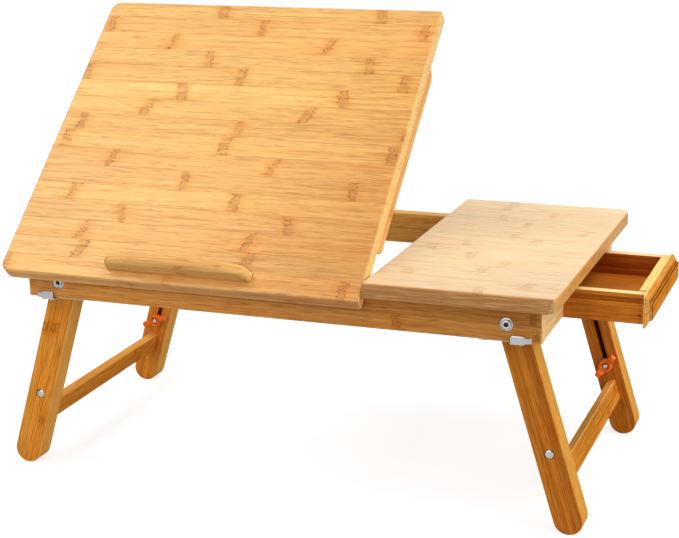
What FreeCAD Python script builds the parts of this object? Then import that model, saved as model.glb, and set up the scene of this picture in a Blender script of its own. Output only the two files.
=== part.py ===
import FreeCAD
import Part

import math
import os

V = FreeCAD.Vector

# ---------------------------------------------------------------- driving sizes, mm and degrees
# Two tops side by side: the tilting one on the left, the fixed one over the drawer on the right.
top_depth = 350.0
top_thickness = 14.5
tilt_top_length = 370.7
side_top_length = 177.8
top_gap = 1.5
top_corner_radius = 10.0
top_inner_corner_radius = 2.5
top_edge_round = 2.2
top_under_chamfer = 1.0
front_overhang = 15.0
left_overhang = 21.0
right_overhang = 15.0

# Frame under the tops
rail_height = 32.5
rail_thickness = 15.0
rail_edge_round = 1.2
divider_thickness = 12.0
divider_notch_depth = 41.0
divider_notch_rise = 14.0

# Tilting top: hinge line, support battens, bowed stop ledge
tilt_angle = 41.2
hinge_setback = 4.5
top_seat_gap = 0.4
batten_width = 12.0
batten_depth = 17.0
batten_start = 69.0
batten_length = 221.0
batten_side_gap = 4.3
batten_web = 4.0
ledge_start = 113.4
ledge_length = 150.0
ledge_height = 19.5
ledge_end_height = 14.0
ledge_thickness = 11.5
ledge_setback = 9.3
ledge_left_radius = 7.0
ledge_right_radius = 13.0
ledge_edge_chamfer = 1.9

# Butt hinges between the front rail and the tilting top
hinge_width = 42.0
hinge_leaf_depth = 16.0
hinge_leaf_thickness = 1.2
hinge_knuckle_radius = 2.4
hinge_pin_radius = 1.1
hinge_inset = 62.0

# Prop: two arms on a fixed rod, with a bar that runs in the battens' slots
prop_arm_length = 95.0
prop_arm_width = 10.0
prop_arm_height = 14.0
prop_arm_gap = 18.0
prop_rod_radius = 3.0
prop_bar_radius = 3.0
prop_bar_end_gap = 0.6
prop_rod_drop = 21.5
prop_bar_drop = 8.5
prop_slat_width = 20.0
prop_slat_thickness = 8.0
prop_slat_edge_chamfer = 1.2
slot_half_width = 3.9
notch_count = 5
notch_rise = 2.0

# Drawer, opening to the right
drawer_width = 145.0
drawer_side_height = 28.3
drawer_side_thickness = 9.5
drawer_side_length = 140.0
drawer_back_thickness = 8.0
drawer_bottom_thickness = 3.5
drawer_bottom_rise = 4.0
drawer_top_drop = 4.5
drawer_front_thickness = 12.6
drawer_front_lap = 6.0
drawer_front_overlap = 4.5
drawer_front_height = 32.0
drawer_front_top_drop = 3.2
drawer_front_shoulder = 7.8
drawer_front_shoulder_depth = 4.0
drawer_front_corner_radius = 4.0
drawer_front_foot_bevel = 7.0
drawer_panel_thickness = 2.4
drawer_panel_height = 17.0
drawer_panel_inset = 1.2
drawer_panel_chamfer = 0.8
drawer_travel_in = 74.0
drawer_front_gap = 0.4
drawer_side_gap = 0.6
groove_top_drop = 3.8
groove_height = 5.2
groove_depth = 4.2
runner_play = 0.5
guide_thickness = 8.0

# Legs: a pivoting slat beside each rail and a sliding slat beside it that carries the foot
leg_splay = 16.8
leg_width = 28.0
slat_thickness = 11.0
leg_pivot_inset = 32.0
leg_pivot_drop = 17.0
leg_reach = 195.0
clamp_distance = 130.0
foot_travel = 80.0
sliding_slat_start = 12.0
slat_slot_width = 5.4
slat_edge_chamfer = 0.9
leg_stop_gap = 0.4
stretcher_start = 148.0
stretcher_height = 22.0
stretcher_thickness = 9.0
stretcher_edge_chamfer = 1.0

# Fasteners, and how many flat sides stand for a hexagon, a square and what is round but small
hex_side_count = 6
head_side_count = 16
shank_side_count = 12
neck_side_count = 4
pivot_bolt_radius = 3.0
pivot_head_radius = 6.2
pivot_head_height = 2.2
pivot_head_sink = 1.4
pivot_flange_height = 1.0
pivot_boss_radius = 4.4
pivot_socket_width = 4.2
pivot_socket_depth = 1.8
pivot_nut_radius = 5.5
pivot_nut_height = 5.0
pivot_bolt_tail = 1.0
clamp_bolt_radius = 2.5
clamp_head_radius = 4.5
clamp_head_height = 1.8
clamp_head_sink = 0.3
clamp_recess_gap = 0.8
clamp_head_chamfer = 0.8
clamp_neck_width = 5.0
clamp_tail = 13.0
washer_radius = 7.0
washer_thickness = 1.0
wing_hub_radius = 7.0
wing_hub_chamfer = 1.0
wing_hub_height = 8.0
wing_reach = 14.3
wing_root_reach = 3.5
wing_thickness = 3.8
wing_height = 10.5
wing_foot = 0.8
wing_waist = 9.0
wing_end_chamfer = 1.2
wing_turn_front = 4.0
wing_turn_rear = 53.0

# Leg catches of bent spring steel
catch_thickness = 1.0
catch_strip_width = 9.0
catch_strip_inner = 27.0
catch_tab_start = 8.5
catch_tab_bend = 15.5
catch_tab_end = 27.5
catch_tab_height = 8.0
catch_tab_reach = 3.6
catch_tab_return = 0.9
catch_corner_radius = 2.4
catch_screw_inset = 6.0
catch_screw_radius = 1.8
catch_screw_head_radius = 3.4
catch_screw_head_height = 0.8
catch_screw_length = 9.0

# Clearances
piece_gap = 0.3
bore_play = 0.08

# How near two coordinates are to count as one
same_place = 1e-4

# ---------------------------------------------------------------- sizes that follow
frame_length = tilt_top_length + top_gap + side_top_length - left_overhang - right_overhang
frame_depth = top_depth - 2.0 * front_overhang
tilt_top_end = tilt_top_length - left_overhang
side_top_start = tilt_top_end + top_gap
divider_start = side_top_start
divider_end = divider_start + divider_thickness
splay = math.radians(leg_splay)
half_leg = leg_width / 2.0
end_rail_thickness = leg_pivot_inset - (
    half_leg + leg_stop_gap + (rail_height - leg_pivot_drop) * math.sin(splay)
) / math.cos(splay)
pivot_slat_front = rail_thickness + piece_gap
pivot_slat_back = pivot_slat_front + slat_thickness
sliding_slat_front = pivot_slat_back + piece_gap
sliding_slat_back = sliding_slat_front + slat_thickness
prop_lean = math.asin((prop_rod_drop - prop_bar_drop) / prop_arm_length)
prop_rod_offset = prop_arm_length * math.cos(prop_lean) + prop_bar_drop * (
    1.0 - math.cos(math.radians(tilt_angle))
) / math.sin(math.radians(tilt_angle))
prop_rod_y = hinge_setback + prop_rod_offset
batten_face = end_rail_thickness + batten_side_gap
arm_face = batten_face + batten_width + prop_arm_gap
bay_middle = (end_rail_thickness + divider_start) / 2.0
drawer_near = (frame_depth - drawer_width) / 2.0
drawer_far = drawer_near + drawer_width
guide_face = drawer_near - drawer_side_gap
drawer_front_back = frame_length + drawer_front_gap
drawer_side_end = drawer_front_back


# ---------------------------------------------------------------- shape helpers
def block(x0, x1, y0, y1, z0, z1):
    return Part.makeBox(x1 - x0, y1 - y0, z1 - z0, V(x0, y0, z0))


def along_y(radius, x, z, y0, y1):
    return Part.makeCylinder(radius, y1 - y0, V(x, y0, z), V(0, 1, 0))


def along_x(radius, y, z, x0, x1):
    return Part.makeCylinder(radius, x1 - x0, V(x0, y, z), V(1, 0, 0))


def prism(points, direction):
    """A closed outline of points swept along a vector."""
    return Part.Face(Part.makePolygon(points + [points[0]])).extrude(direction)


def on_axis(axis, first, second, along):
    """A point from its place along x, y or z and its two other coordinates."""
    points = {"x": (along, first, second), "y": (first, along, second), "z": (first, second, along)}
    return V(*points[axis])


def flat_sided(radius, flats, axis, centre, start, end):
    """A bar along x, y or z with flat sides, its corners at the radius."""
    first, second = centre
    points = []
    for i in range(flats):
        angle = 2.0 * math.pi * i / flats
        across = first + radius * math.cos(angle)
        points.append(on_axis(axis, across, second + radius * math.sin(angle), start))
    return prism(points, on_axis(axis, 0, 0, end - start))


def flat_bore(radius, flats, axis, centre, start, end):
    """A bar or a bore along x, y or z with its flat sides at the radius."""
    return flat_sided(radius / math.cos(math.pi / flats), flats, axis, centre, start, end)


def slab(x0, x1, y0, y1, z0, z1, radii):
    """A flat board with its own radius at each corner, from the low x, low y one round to low x, high y."""
    corners = [(x0, y0), (x1, y0), (x1, y1), (x0, y1)]
    along = [(1, 0), (0, 1), (-1, 0), (0, -1)]
    edges = []
    joins = []
    for i, (corner, radius) in enumerate(zip(corners, radii)):
        into = along[i - 1]
        out = along[i]
        start = V(corner[0] - into[0] * radius, corner[1] - into[1] * radius, z0)
        end = V(corner[0] + out[0] * radius, corner[1] + out[1] * radius, z0)
        back = radius * (1.0 - math.sqrt(0.5))
        middle = V(corner[0] + (out[0] - into[0]) * back, corner[1] + (out[1] - into[1]) * back, z0)
        joins.append((start, end))
        edges.append(Part.Arc(start, middle, end).toShape())
    for (_, end), (start, _) in zip(joins, joins[1:] + joins[:1]):
        edges.append(Part.makeLine(end, start))
    wire = Part.Wire(Part.__sortEdges__(edges))
    return Part.Face(wire).extrude(V(0, 0, z1 - z0))


def rounded(shape, radius, wanted):
    """The shape with every edge that wanted() accepts rounded over."""
    edges = [edge for edge in shape.Edges if wanted(edge)]
    return shape.makeFillet(radius, edges)


def chamfered(shape, size, wanted):
    """The shape with every edge that wanted() accepts cut off at 45 degrees."""
    edges = [edge for edge in shape.Edges if wanted(edge)]
    return shape.makeChamfer(size, edges)


def runs_along(edge, axis):
    """True for a straight edge along x, y or z."""
    if edge.Curve.TypeId != "Part::GeomLine":
        return False
    direction = edge.Curve.Direction
    return abs(abs((direction.x, direction.y, direction.z)["xyz".index(axis)]) - 1.0) < same_place


def at_height(edge, z):
    box = edge.BoundBox
    return abs(box.ZMin - z) < same_place and abs(box.ZMax - z) < same_place


def mirrored_depth(shape):
    return shape.mirror(V(0, frame_depth / 2.0, 0), V(0, 1, 0))


def mirrored_length(shape):
    return shape.mirror(V(frame_length / 2.0, 0, 0), V(1, 0, 0))


def mirrored_bay(shape):
    """The same piece at the other end of the bay under the tilting top."""
    return shape.mirror(V(bay_middle, 0, 0), V(1, 0, 0))


def tilted(shape):
    """Turns a piece of the tilting top from flat to its raised place."""
    return shape.rotated(V(0, hinge_setback, 0), V(1, 0, 0), tilt_angle)


def propped(shape):
    """Turns a piece of the prop with the tilting top: it turns twice as far."""
    return shape.rotated(V(0, prop_rod_y, -prop_rod_drop), V(1, 0, 0), 2.0 * tilt_angle)


def drawn_out(shape):
    return shape.translated(V(drawer_travel_in, 0, 0))


# ---------------------------------------------------------------- frame
def leg_pivots():
    return [leg_pivot_inset, frame_length - leg_pivot_inset]


def hinge_starts():
    return [hinge_inset, tilt_top_end - left_overhang - hinge_inset]


def rail(relieved):
    """A long rail with rounded outer edges, the two leg bolt holes and their seats."""
    shape = block(0, frame_length, 0, rail_thickness, -rail_height, 0)
    shape = rounded(shape, rail_edge_round, lambda e: at_height(e, -rail_height) and runs_along(e, "x"))
    for x in leg_pivots():
        centre = (x, -leg_pivot_drop)
        shape = shape.cut(flat_bore(pivot_bolt_radius, shank_side_count, "y", centre, -1, rail_thickness + 1))
        seat = pivot_head_radius + piece_gap
        shape = shape.cut(flat_bore(seat, head_side_count, "y", centre, -1, pivot_head_sink))
    if relieved:
        shape = shape.cut(hinge_bevel())
        for x in hinge_starts():
            shape = shape.cut(hinge_rail_pocket(x))
    return shape


def hinge_bevel():
    """Room for the tilting top to swing down past the top edge of the front rail."""
    slope = math.tan(math.radians(tilt_angle))
    spare = top_seat_gap / math.cos(math.radians(tilt_angle))
    reach = hinge_setback + spare / slope
    fall = reach * slope
    points = [V(-1, reach, 0), V(-1, reach, 1), V(-1, -1, 1), V(-1, -1, -fall - slope)]
    return prism(points, V(divider_start + 1, 0, 0))


def knuckle_room(x0, x1):
    return flat_bore(hinge_knuckle_radius + piece_gap, shank_side_count, "x", (hinge_setback, 0), x0, x1)


def hinge_rail_pocket(x):
    """Housing in the front rail for one hinge's lower leaf and its knuckle."""
    x0 = x - piece_gap
    x1 = x + hinge_width + piece_gap
    leaf = block(x0, x1, hinge_setback, rail_thickness + 1, -hinge_leaf_thickness, 1)
    return leaf.fuse(knuckle_room(x0, x1))


def left_end_rail():
    shape = block(0, end_rail_thickness, rail_thickness, frame_depth - rail_thickness, -rail_height, 0)
    shape = rounded(shape, rail_edge_round, lambda e: at_height(e, -rail_height) and e.BoundBox.XMax < 1)
    return shape.cut(prop_rod())


def end_block():
    """One of the two short blocks that close the right end in front of and behind the drawer."""
    x0 = frame_length - end_rail_thickness
    shape = block(x0, frame_length, rail_thickness, guide_face, -rail_height, 0)
    return rounded(shape, rail_edge_round, lambda e: at_height(e, -rail_height) and e.BoundBox.XMin > x0 + 1)


def divider():
    """Cross rail between the two bays, cut away at both ends where the folded legs lie."""
    shape = block(divider_start, divider_end, rail_thickness, frame_depth - rail_thickness, -rail_height, 0)
    notch = block(divider_start - 1, divider_end + 1, rail_thickness - 1,
                  rail_thickness + divider_notch_depth, -rail_height - 1, -rail_height + divider_notch_rise)
    notch = rounded(notch, divider_notch_rise / 3.0,
                    lambda e: at_height(e, -rail_height + divider_notch_rise)
                    and runs_along(e, "x") and e.BoundBox.YMin > rail_thickness)
    return shape.cut(notch).cut(mirrored_depth(notch)).cut(prop_rod())


def drawer_guide():
    """Rail beside the drawer that carries its runner."""
    return block(divider_end, frame_length - end_rail_thickness, guide_face - guide_thickness,
                 guide_face, -rail_height, -drawer_top_drop)


def drawer_runner():
    """Strip on the guide that fills the groove in the drawer's side, with play all round."""
    top = -drawer_top_drop - groove_top_drop - runner_play
    bottom = -drawer_top_drop - groove_top_drop - groove_height + runner_play
    reach = guide_face + drawer_side_gap + groove_depth - runner_play
    return block(divider_end, frame_length - end_rail_thickness, guide_face, reach, bottom, top)


def side_top():
    """Fixed top over the drawer, rounded at its two outer corners."""
    radii = (top_inner_corner_radius, top_corner_radius, top_corner_radius, top_inner_corner_radius)
    shape = slab(side_top_start, side_top_start + side_top_length, -front_overhang,
                 top_depth - front_overhang, 0, top_thickness, radii)
    shape = rounded(shape, top_edge_round, lambda e: at_height(e, top_thickness))
    return chamfered(shape, top_under_chamfer, lambda e: at_height(e, 0))


# ---------------------------------------------------------------- tilting top
def tilt_top():
    """Tilting board, with housings under its front edge for the hinges."""
    radii = (top_corner_radius, top_inner_corner_radius, top_inner_corner_radius, top_corner_radius)
    shape = slab(-left_overhang, tilt_top_end, -front_overhang, top_depth - front_overhang,
                 top_seat_gap, top_thickness, radii)
    shape = rounded(shape, top_edge_round, lambda e: at_height(e, top_thickness))
    shape = chamfered(shape, top_under_chamfer, lambda e: at_height(e, top_seat_gap))
    for x in hinge_starts():
        shape = shape.cut(hinge_top_pocket(x))
    return tilted(shape)


def hinge_top_pocket(x):
    """Housing under the tilting top for one hinge's upper leaf and its knuckle."""
    x0 = x - piece_gap
    x1 = x + hinge_width + piece_gap
    leaf = block(x0, x1, hinge_setback, hinge_setback + hinge_leaf_depth, -1, hinge_leaf_thickness)
    return leaf.fuse(knuckle_room(x0, x1))


def hinge_leaf(x, upper):
    """One leaf with its knuckles: the upper leaf has the middle one, the lower leaf the outer two."""
    third = hinge_width / 3.0
    if upper:
        spans = [(x + third + piece_gap, x + 2.0 * third - piece_gap)]
        level = (piece_gap / 2.0, hinge_leaf_thickness)
        turn = tilted
        reach = hinge_leaf_depth
    else:
        spans = [(x, x + third), (x + 2.0 * third, x + hinge_width)]
        level = (-hinge_leaf_thickness, -piece_gap / 2.0)
        turn = None
        reach = rail_thickness - hinge_setback
    start = hinge_setback + hinge_knuckle_radius + piece_gap
    leaf = block(x, x + hinge_width, start, hinge_setback + reach, *level)
    line = (hinge_setback, 0)
    for x0, x1 in spans:
        tongue = block(x0, x1, hinge_setback, start, *level)
        leaf = leaf.fuse(tongue).fuse(flat_sided(hinge_knuckle_radius, shank_side_count, "x", line, x0, x1))
    bore = hinge_pin_radius + (bore_play if upper else 0.0)
    leaf = leaf.cut(flat_bore(bore, shank_side_count, "x", line, x - 1, x + hinge_width + 1)).removeSplitter()
    return turn(leaf) if turn else leaf


def hinge_pin(x):
    return flat_sided(hinge_pin_radius, shank_side_count, "x", (hinge_setback, 0), x, x + hinge_width)


def batten():
    """Support batten: a long slot in its inner side for the prop bar, with notches in the slot's top."""
    x0 = batten_face
    x1 = x0 + batten_width
    y0 = batten_start - front_overhang
    shape = block(x0, x1, y0, y0 + batten_length, -batten_depth, top_seat_gap)
    corner = batten_depth / 2.0
    shape = rounded(shape, corner, lambda e: at_height(e, -batten_depth) and runs_along(e, "x"))
    first = bar_travel(tilt_angle)
    last = bar_travel(0.0)
    shape = shape.cut(slot_cutter(x0 + batten_web, x1 + 1, first, last))
    for i in range(notch_count):
        y = hinge_setback + first + (last - first) * i / (notch_count - 1)
        centre = (y, -prop_bar_drop + notch_rise)
        shape = shape.cut(flat_bore(prop_bar_radius + piece_gap, shank_side_count, "x", centre,
                                    x0 + batten_web, x1 + 1))
    return tilted(shape)


def bar_travel(angle):
    """How far along the tilting top, from the hinge line, the prop bar is at a tilt angle."""
    turn = math.radians(angle)
    return (prop_rod_offset * math.cos(turn) - prop_rod_drop * math.sin(turn)
            + prop_arm_length * math.cos(prop_lean + turn))


def slot_cutter(x0, x1, first, last):
    low = min(first, last) + hinge_setback
    high = max(first, last) + hinge_setback
    shape = block(x0, x1, low, high, -prop_bar_drop - slot_half_width, -prop_bar_drop + slot_half_width)
    for y in (low, high):
        shape = shape.fuse(flat_sided(slot_half_width, shank_side_count, "x", (y, -prop_bar_drop), x0, x1))
    return shape.removeSplitter()


def stop_ledge():
    """Ledge along the front of the tilting top: its upper edge bows up between a blunt end and a long one."""
    x0 = ledge_start - left_overhang
    x1 = x0 + ledge_length
    y = ledge_setback - front_overhang
    low = top_thickness
    end = top_thickness + ledge_end_height
    crown = V((x0 + x1) / 2.0, y, top_thickness + ledge_height)
    corners = [V(x0, y, end), V(x0, y, low), V(x1, y, low), V(x1, y, end)]
    lines = [Part.makeLine(a, b) for a, b in zip(corners, corners[1:])]
    bow = Part.Arc(V(x1, y, end), crown, V(x0, y, end)).toShape()
    shape = Part.Face(Part.Wire(lines + [bow])).extrude(V(0, ledge_thickness, 0))
    for x, radius in ((x0, ledge_left_radius), (x1, ledge_right_radius)):
        shape = rounded(shape, radius, lambda e: at_height(e, end) and abs(e.BoundBox.XMin - x) < same_place
                        and runs_along(e, "y"))
    shape = chamfered(shape, ledge_edge_chamfer,
                      lambda e: e.BoundBox.YLength < same_place and not at_height(e, low))
    return tilted(shape)


# ---------------------------------------------------------------- prop
def rod_seat():
    """How deep the prop's rod is let into the rails at its ends."""
    return end_rail_thickness / 2.0


def prop_rod():
    """Rod that the arms turn on, let into the left end rail and the divider."""
    return along_x(prop_rod_radius, prop_rod_y, -prop_rod_drop, end_rail_thickness - rod_seat(),
                   divider_start + rod_seat())


def prop_bar_place():
    """Centre of the prop bar with the top flat."""
    y = prop_rod_y + prop_arm_length * math.cos(prop_lean)
    return y, -prop_rod_drop + prop_arm_length * math.sin(prop_lean)


def prop_bar():
    """Bar from one batten's slot to the other's, short of their outer webs."""
    x0 = batten_face + batten_web + prop_bar_end_gap
    y, z = prop_bar_place()
    return propped(along_x(prop_bar_radius, y, z, x0, 2.0 * bay_middle - x0))


def prop_arm():
    """Arm with round ends about its two bores."""
    x0 = arm_face
    radius = prop_arm_height / 2.0
    y, z = prop_rod_y, -prop_rod_drop
    shape = block(x0, x0 + prop_arm_width, y, y + prop_arm_length, z - radius, z + radius)
    for end in (0.0, prop_arm_length):
        shape = shape.fuse(along_x(radius, y + end, z, x0, x0 + prop_arm_width))
    shape = shape.removeSplitter()
    x1 = x0 + prop_arm_width
    rod_bore = prop_rod_radius + bore_play
    shape = shape.cut(flat_bore(rod_bore, shank_side_count, "x", (y, z), x0 - 1, x1 + 1))
    bar = (y + prop_arm_length, z)
    shape = shape.cut(flat_bore(prop_bar_radius, shank_side_count, "x", bar, x0 - 1, x1 + 1))
    return propped(shape.rotated(V(0, y, z), V(1, 0, 0), math.degrees(prop_lean)))


def prop_slat():
    """Flat slat that ties the two arms together."""
    x0 = arm_face + prop_arm_width
    y, z = prop_rod_y, -prop_rod_drop
    middle = y + prop_arm_length / 2.0
    shape = block(x0, 2.0 * bay_middle - x0, middle - prop_slat_width / 2.0, middle + prop_slat_width / 2.0,
                  z - prop_slat_thickness / 2.0, z + prop_slat_thickness / 2.0)
    shape = chamfered(shape, prop_slat_edge_chamfer, lambda e: runs_along(e, "x"))
    return propped(shape.rotated(V(0, y, z), V(1, 0, 0), math.degrees(prop_lean)))


# ---------------------------------------------------------------- drawer
def drawer_side():
    """Side board with a runner groove outside and a housing for the bottom inside."""
    x1 = drawer_side_end
    x0 = x1 - drawer_side_length
    top = -drawer_top_drop
    y0 = drawer_near
    shape = block(x0, x1, y0, y0 + drawer_side_thickness, top - drawer_side_height, top)
    groove = block(x0 - 1, x1 + 1, y0 - 1, y0 + groove_depth,
                   top - groove_top_drop - groove_height, top - groove_top_drop)
    floor = bottom_level()
    housing = block(x0 - 1, x1 + 1, y0 + drawer_side_thickness / 2.0, y0 + drawer_side_thickness + 1,
                    floor, floor + drawer_bottom_thickness)
    return drawn_out(shape.cut(groove).cut(housing))


def bottom_level():
    return -drawer_top_drop - drawer_side_height + drawer_bottom_rise


def drawer_back():
    x0 = drawer_side_end - drawer_side_length
    floor = bottom_level() + drawer_bottom_thickness
    return drawn_out(block(x0, x0 + drawer_back_thickness, drawer_near + drawer_side_thickness,
                           drawer_far - drawer_side_thickness, floor, -drawer_top_drop))


def drawer_bottom():
    floor = bottom_level()
    edge = drawer_side_thickness / 2.0
    return drawn_out(block(drawer_side_end - drawer_side_length, drawer_front_inner() + front_housing(),
                           drawer_near + edge, drawer_far - edge, floor, floor + drawer_bottom_thickness))


def drawer_front_inner():
    """The X of the front board's inner face between the sides, with the drawer shut."""
    return drawer_front_back - (drawer_front_thickness - drawer_front_lap)


def front_housing():
    """How deep the bottom is let into the front board."""
    return drawer_front_lap / 2.0


def front_profile():
    """Height of the front board's top, shoulder and foot."""
    top = -drawer_front_top_drop
    return top, top - drawer_front_shoulder, top - drawer_front_height


def front_board():
    """Front board with a sloping shoulder, a bevelled foot and round upper corners."""
    x0 = drawer_front_inner()
    x1 = x0 + drawer_front_thickness
    y0 = drawer_near - drawer_front_overlap
    y1 = drawer_far + drawer_front_overlap
    top, shoulder, foot = front_profile()
    fall = drawer_front_shoulder_depth
    points = [V(x1 - fall, y0, top), V(x1, y0, shoulder), V(x1, y0, foot + drawer_front_foot_bevel),
              V(x1 - fall, y0, foot), V(x0, y0, foot), V(x0, y0, top)]
    profile = prism(points, V(0, y1 - y0, 0))
    blank = block(x0, x1, y0, y1, foot, top)
    blank = rounded(blank, drawer_front_corner_radius, lambda e: at_height(e, top) and runs_along(e, "x"))
    return profile.common(blank)


def drawer_front():
    """Front board with a raised panel outside, rebated ends for the sides and a housing for the bottom."""
    x0 = drawer_front_inner()
    x1 = x0 + drawer_front_thickness
    x2 = x1 + drawer_panel_thickness
    y0 = drawer_near - drawer_front_overlap
    y1 = drawer_far + drawer_front_overlap
    shoulder, foot = front_profile()[1:]
    panel = block(x1, x2, y0 + drawer_panel_inset, y1 - drawer_panel_inset, shoulder - drawer_panel_height,
                  shoulder)
    panel = chamfered(panel, drawer_panel_chamfer, lambda e: e.BoundBox.XMin > x2 - same_place)
    shape = front_board().fuse(panel).removeSplitter()
    rebate = block(x0 - 1, drawer_front_back, y0 - 1, drawer_near + drawer_side_thickness, foot - 1, 1)
    floor = bottom_level()
    housing = block(x0 - 1, x0 + front_housing(), drawer_near + drawer_side_thickness - 1,
                    drawer_far - drawer_side_thickness + 1, floor, floor + drawer_bottom_thickness)
    return drawn_out(shape.cut(rebate).cut(mirrored_depth(rebate)).cut(housing))


# ---------------------------------------------------------------- legs
def slat_outline(start, round_start):
    """Leg outline in X and Z, running down from the pivot at the origin, with a round foot."""
    r = half_leg
    foot = -leg_reach
    if round_start:
        head = [Part.Arc(V(r, 0, start), V(0, 0, start + r), V(-r, 0, start)).toShape()]
    else:
        head = [Part.makeLine(V(r, 0, start), V(-r, 0, start))]
    sides = [Part.makeLine(V(-r, 0, start), V(-r, 0, foot)),
             Part.Arc(V(-r, 0, foot), V(0, 0, foot - r), V(r, 0, foot)).toShape(),
             Part.makeLine(V(r, 0, foot), V(r, 0, start))]
    return Part.Face(Part.Wire(head + sides))


def stood(shape, x, side):
    """Moves a piece drawn below the origin to a leg pivot and splays it outwards."""
    angle = leg_splay if side == "left" else -leg_splay
    shape = shape.rotated(V(0, 0, 0), V(0, 1, 0), angle)
    return shape.translated(V(x, 0, -leg_pivot_drop))


def pivot_slat():
    """Upper slat of a leg: turns on the pivot bolt and holds the clamp bolt by its square neck."""
    shape = slat_outline(0.0, True).extrude(V(0, slat_thickness, 0))
    shape.translate(V(0, pivot_slat_front, 0))
    shape = chamfered(shape, slat_edge_chamfer,
                      lambda e: runs_along(e, "z") and e.BoundBox.YMax < pivot_slat_front + same_place)
    y0 = pivot_slat_front - 1
    y1 = pivot_slat_back + 1
    shape = shape.cut(along_y(pivot_bolt_radius + bore_play, 0, 0, y0, y1))
    clamp = (0, -clamp_distance)
    shape = shape.cut(flat_bore(clamp_neck_width / 2.0, neck_side_count, "y", clamp, y0, y1))
    recess = flat_bore(clamp_head_radius + clamp_recess_gap, head_side_count, "y", clamp, y0,
                       pivot_slat_front + clamp_head_height)
    return shape.cut(recess)


def sliding_slat():
    """Lower slat of a leg: slotted, so that it slides down past the clamp bolt."""
    shape = slat_outline(-sliding_slat_start, False).extrude(V(0, slat_thickness, 0))
    shape.translate(V(0, sliding_slat_front, 0))
    shape = chamfered(shape, slat_edge_chamfer,
                      lambda e: runs_along(e, "z") and e.BoundBox.YMin > sliding_slat_back - same_place)
    half = slat_slot_width / 2.0
    low = -clamp_distance
    high = -clamp_distance + foot_travel
    y0 = sliding_slat_front - 1
    y1 = sliding_slat_back + 1
    slot = block(-half, half, y0, y1, low, high)
    for z in (low, high):
        slot = slot.fuse(flat_sided(half, shank_side_count, "y", (0, z), y0, y1))
    return shape.cut(slot.removeSplitter())


def stretcher():
    """Bar between the two sliding slats of one end."""
    half = stretcher_thickness / 2.0
    shape = block(-half, half, sliding_slat_back, frame_depth - sliding_slat_back,
                  -stretcher_start - stretcher_height, -stretcher_start)
    return chamfered(shape, stretcher_edge_chamfer, lambda e: runs_along(e, "y"))


def clamp_bolt():
    """Bolt with a low head and a square neck let into the pivoting slat, its shank through the wing nut."""
    crown = pivot_slat_front + clamp_head_sink
    rim = pivot_slat_front + clamp_head_height
    tail = sliding_slat_back + clamp_tail
    clamp = (0, -clamp_distance)
    head = flat_sided(clamp_head_radius, head_side_count, "y", clamp, crown, rim)
    head = chamfered(head, clamp_head_chamfer, lambda e: e.BoundBox.YMax < crown + same_place)
    neck = flat_bore(clamp_neck_width / 2.0, neck_side_count, "y", clamp, rim, pivot_slat_back)
    shank = flat_sided(clamp_bolt_radius, shank_side_count, "y", clamp, rim, tail)
    return head.fuse(neck).fuse(shank).removeSplitter()


def washer():
    y0 = sliding_slat_back + piece_gap
    y1 = y0 + washer_thickness
    clamp = (0, -clamp_distance)
    outer = flat_sided(washer_radius, head_side_count, "y", clamp, y0, y1)
    return outer.cut(flat_bore(clamp_bolt_radius, shank_side_count, "y", clamp, y0 - 1, y1 + 1))


def wing_nut(turn):
    """Plastic wing nut: a hub with two wings that widen outwards, its wings turned off the leg's line."""
    y0 = sliding_slat_back + 2.0 * piece_gap + washer_thickness
    hub = flat_sided(wing_hub_radius, head_side_count, "y", (0, 0), y0, y0 + wing_hub_height)
    hub = chamfered(hub, wing_hub_chamfer, lambda e: e.BoundBox.YMin > y0 + wing_hub_height - same_place)
    half = wing_thickness / 2.0
    for sign in (1, -1):
        outline = [(wing_root_reach, wing_foot), (wing_waist, wing_foot), (wing_reach, wing_hub_height / 2.0),
                   (wing_reach, wing_height), (wing_waist, wing_height), (wing_root_reach, wing_hub_height)]
        wing = prism([V(-half, y0 + y, sign * z) for z, y in outline], V(wing_thickness, 0, 0))
        wing = chamfered(wing, wing_end_chamfer, lambda e: abs(e.CenterOfMass.z) > wing_reach - half
                         and runs_along(e, "x"))
        hub = hub.fuse(wing)
    bore = flat_bore(clamp_bolt_radius + bore_play, shank_side_count, "y", (0, 0), y0 - 1,
                     y0 + wing_height + 1)
    hub = hub.removeSplitter().cut(bore)
    hub = hub.rotated(V(0, 0, 0), V(0, 1, 0), turn)
    return hub.translated(V(0, 0, -clamp_distance))


def pivot_bolt(x):
    """Bolt that holds a leg to its rail: a flange let into the rail, and a boss with a hex socket."""
    centre = (x, -leg_pivot_drop)
    crown = pivot_head_sink - pivot_head_height
    flange = pivot_head_sink - pivot_flange_height
    tail = pivot_slat_back + piece_gap + pivot_nut_height + pivot_bolt_tail
    shape = flat_sided(pivot_head_radius, head_side_count, "y", centre, flange, pivot_head_sink)
    shape = shape.fuse(flat_sided(pivot_boss_radius, head_side_count, "y", centre, crown, flange))
    shape = shape.fuse(flat_sided(pivot_bolt_radius, shank_side_count, "y", centre, pivot_head_sink, tail))
    socket = flat_bore(pivot_socket_width / 2.0, hex_side_count, "y", centre, crown - 1,
                       crown + pivot_socket_depth)
    return shape.removeSplitter().cut(socket)


def pivot_nut(x):
    """Lock nut on the inner side of the pivoting slat."""
    centre = (x, -leg_pivot_drop)
    y0 = pivot_slat_back + piece_gap
    y1 = y0 + pivot_nut_height
    nut = flat_sided(pivot_nut_radius, hex_side_count, "y", centre, y0, y1)
    return nut.cut(flat_bore(pivot_bolt_radius, shank_side_count, "y", centre, y0 - 1, y1 + 1))


# ---------------------------------------------------------------- leg catches
def catch_levels():
    """Top and bottom of the catch strip, just under the rail."""
    top = -rail_height - piece_gap
    return top, top - catch_thickness


def catch_screw_place():
    """X and Y of the left catch's screw."""
    return leg_pivot_inset + catch_strip_inner - catch_screw_inset, rail_thickness / 2.0


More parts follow.
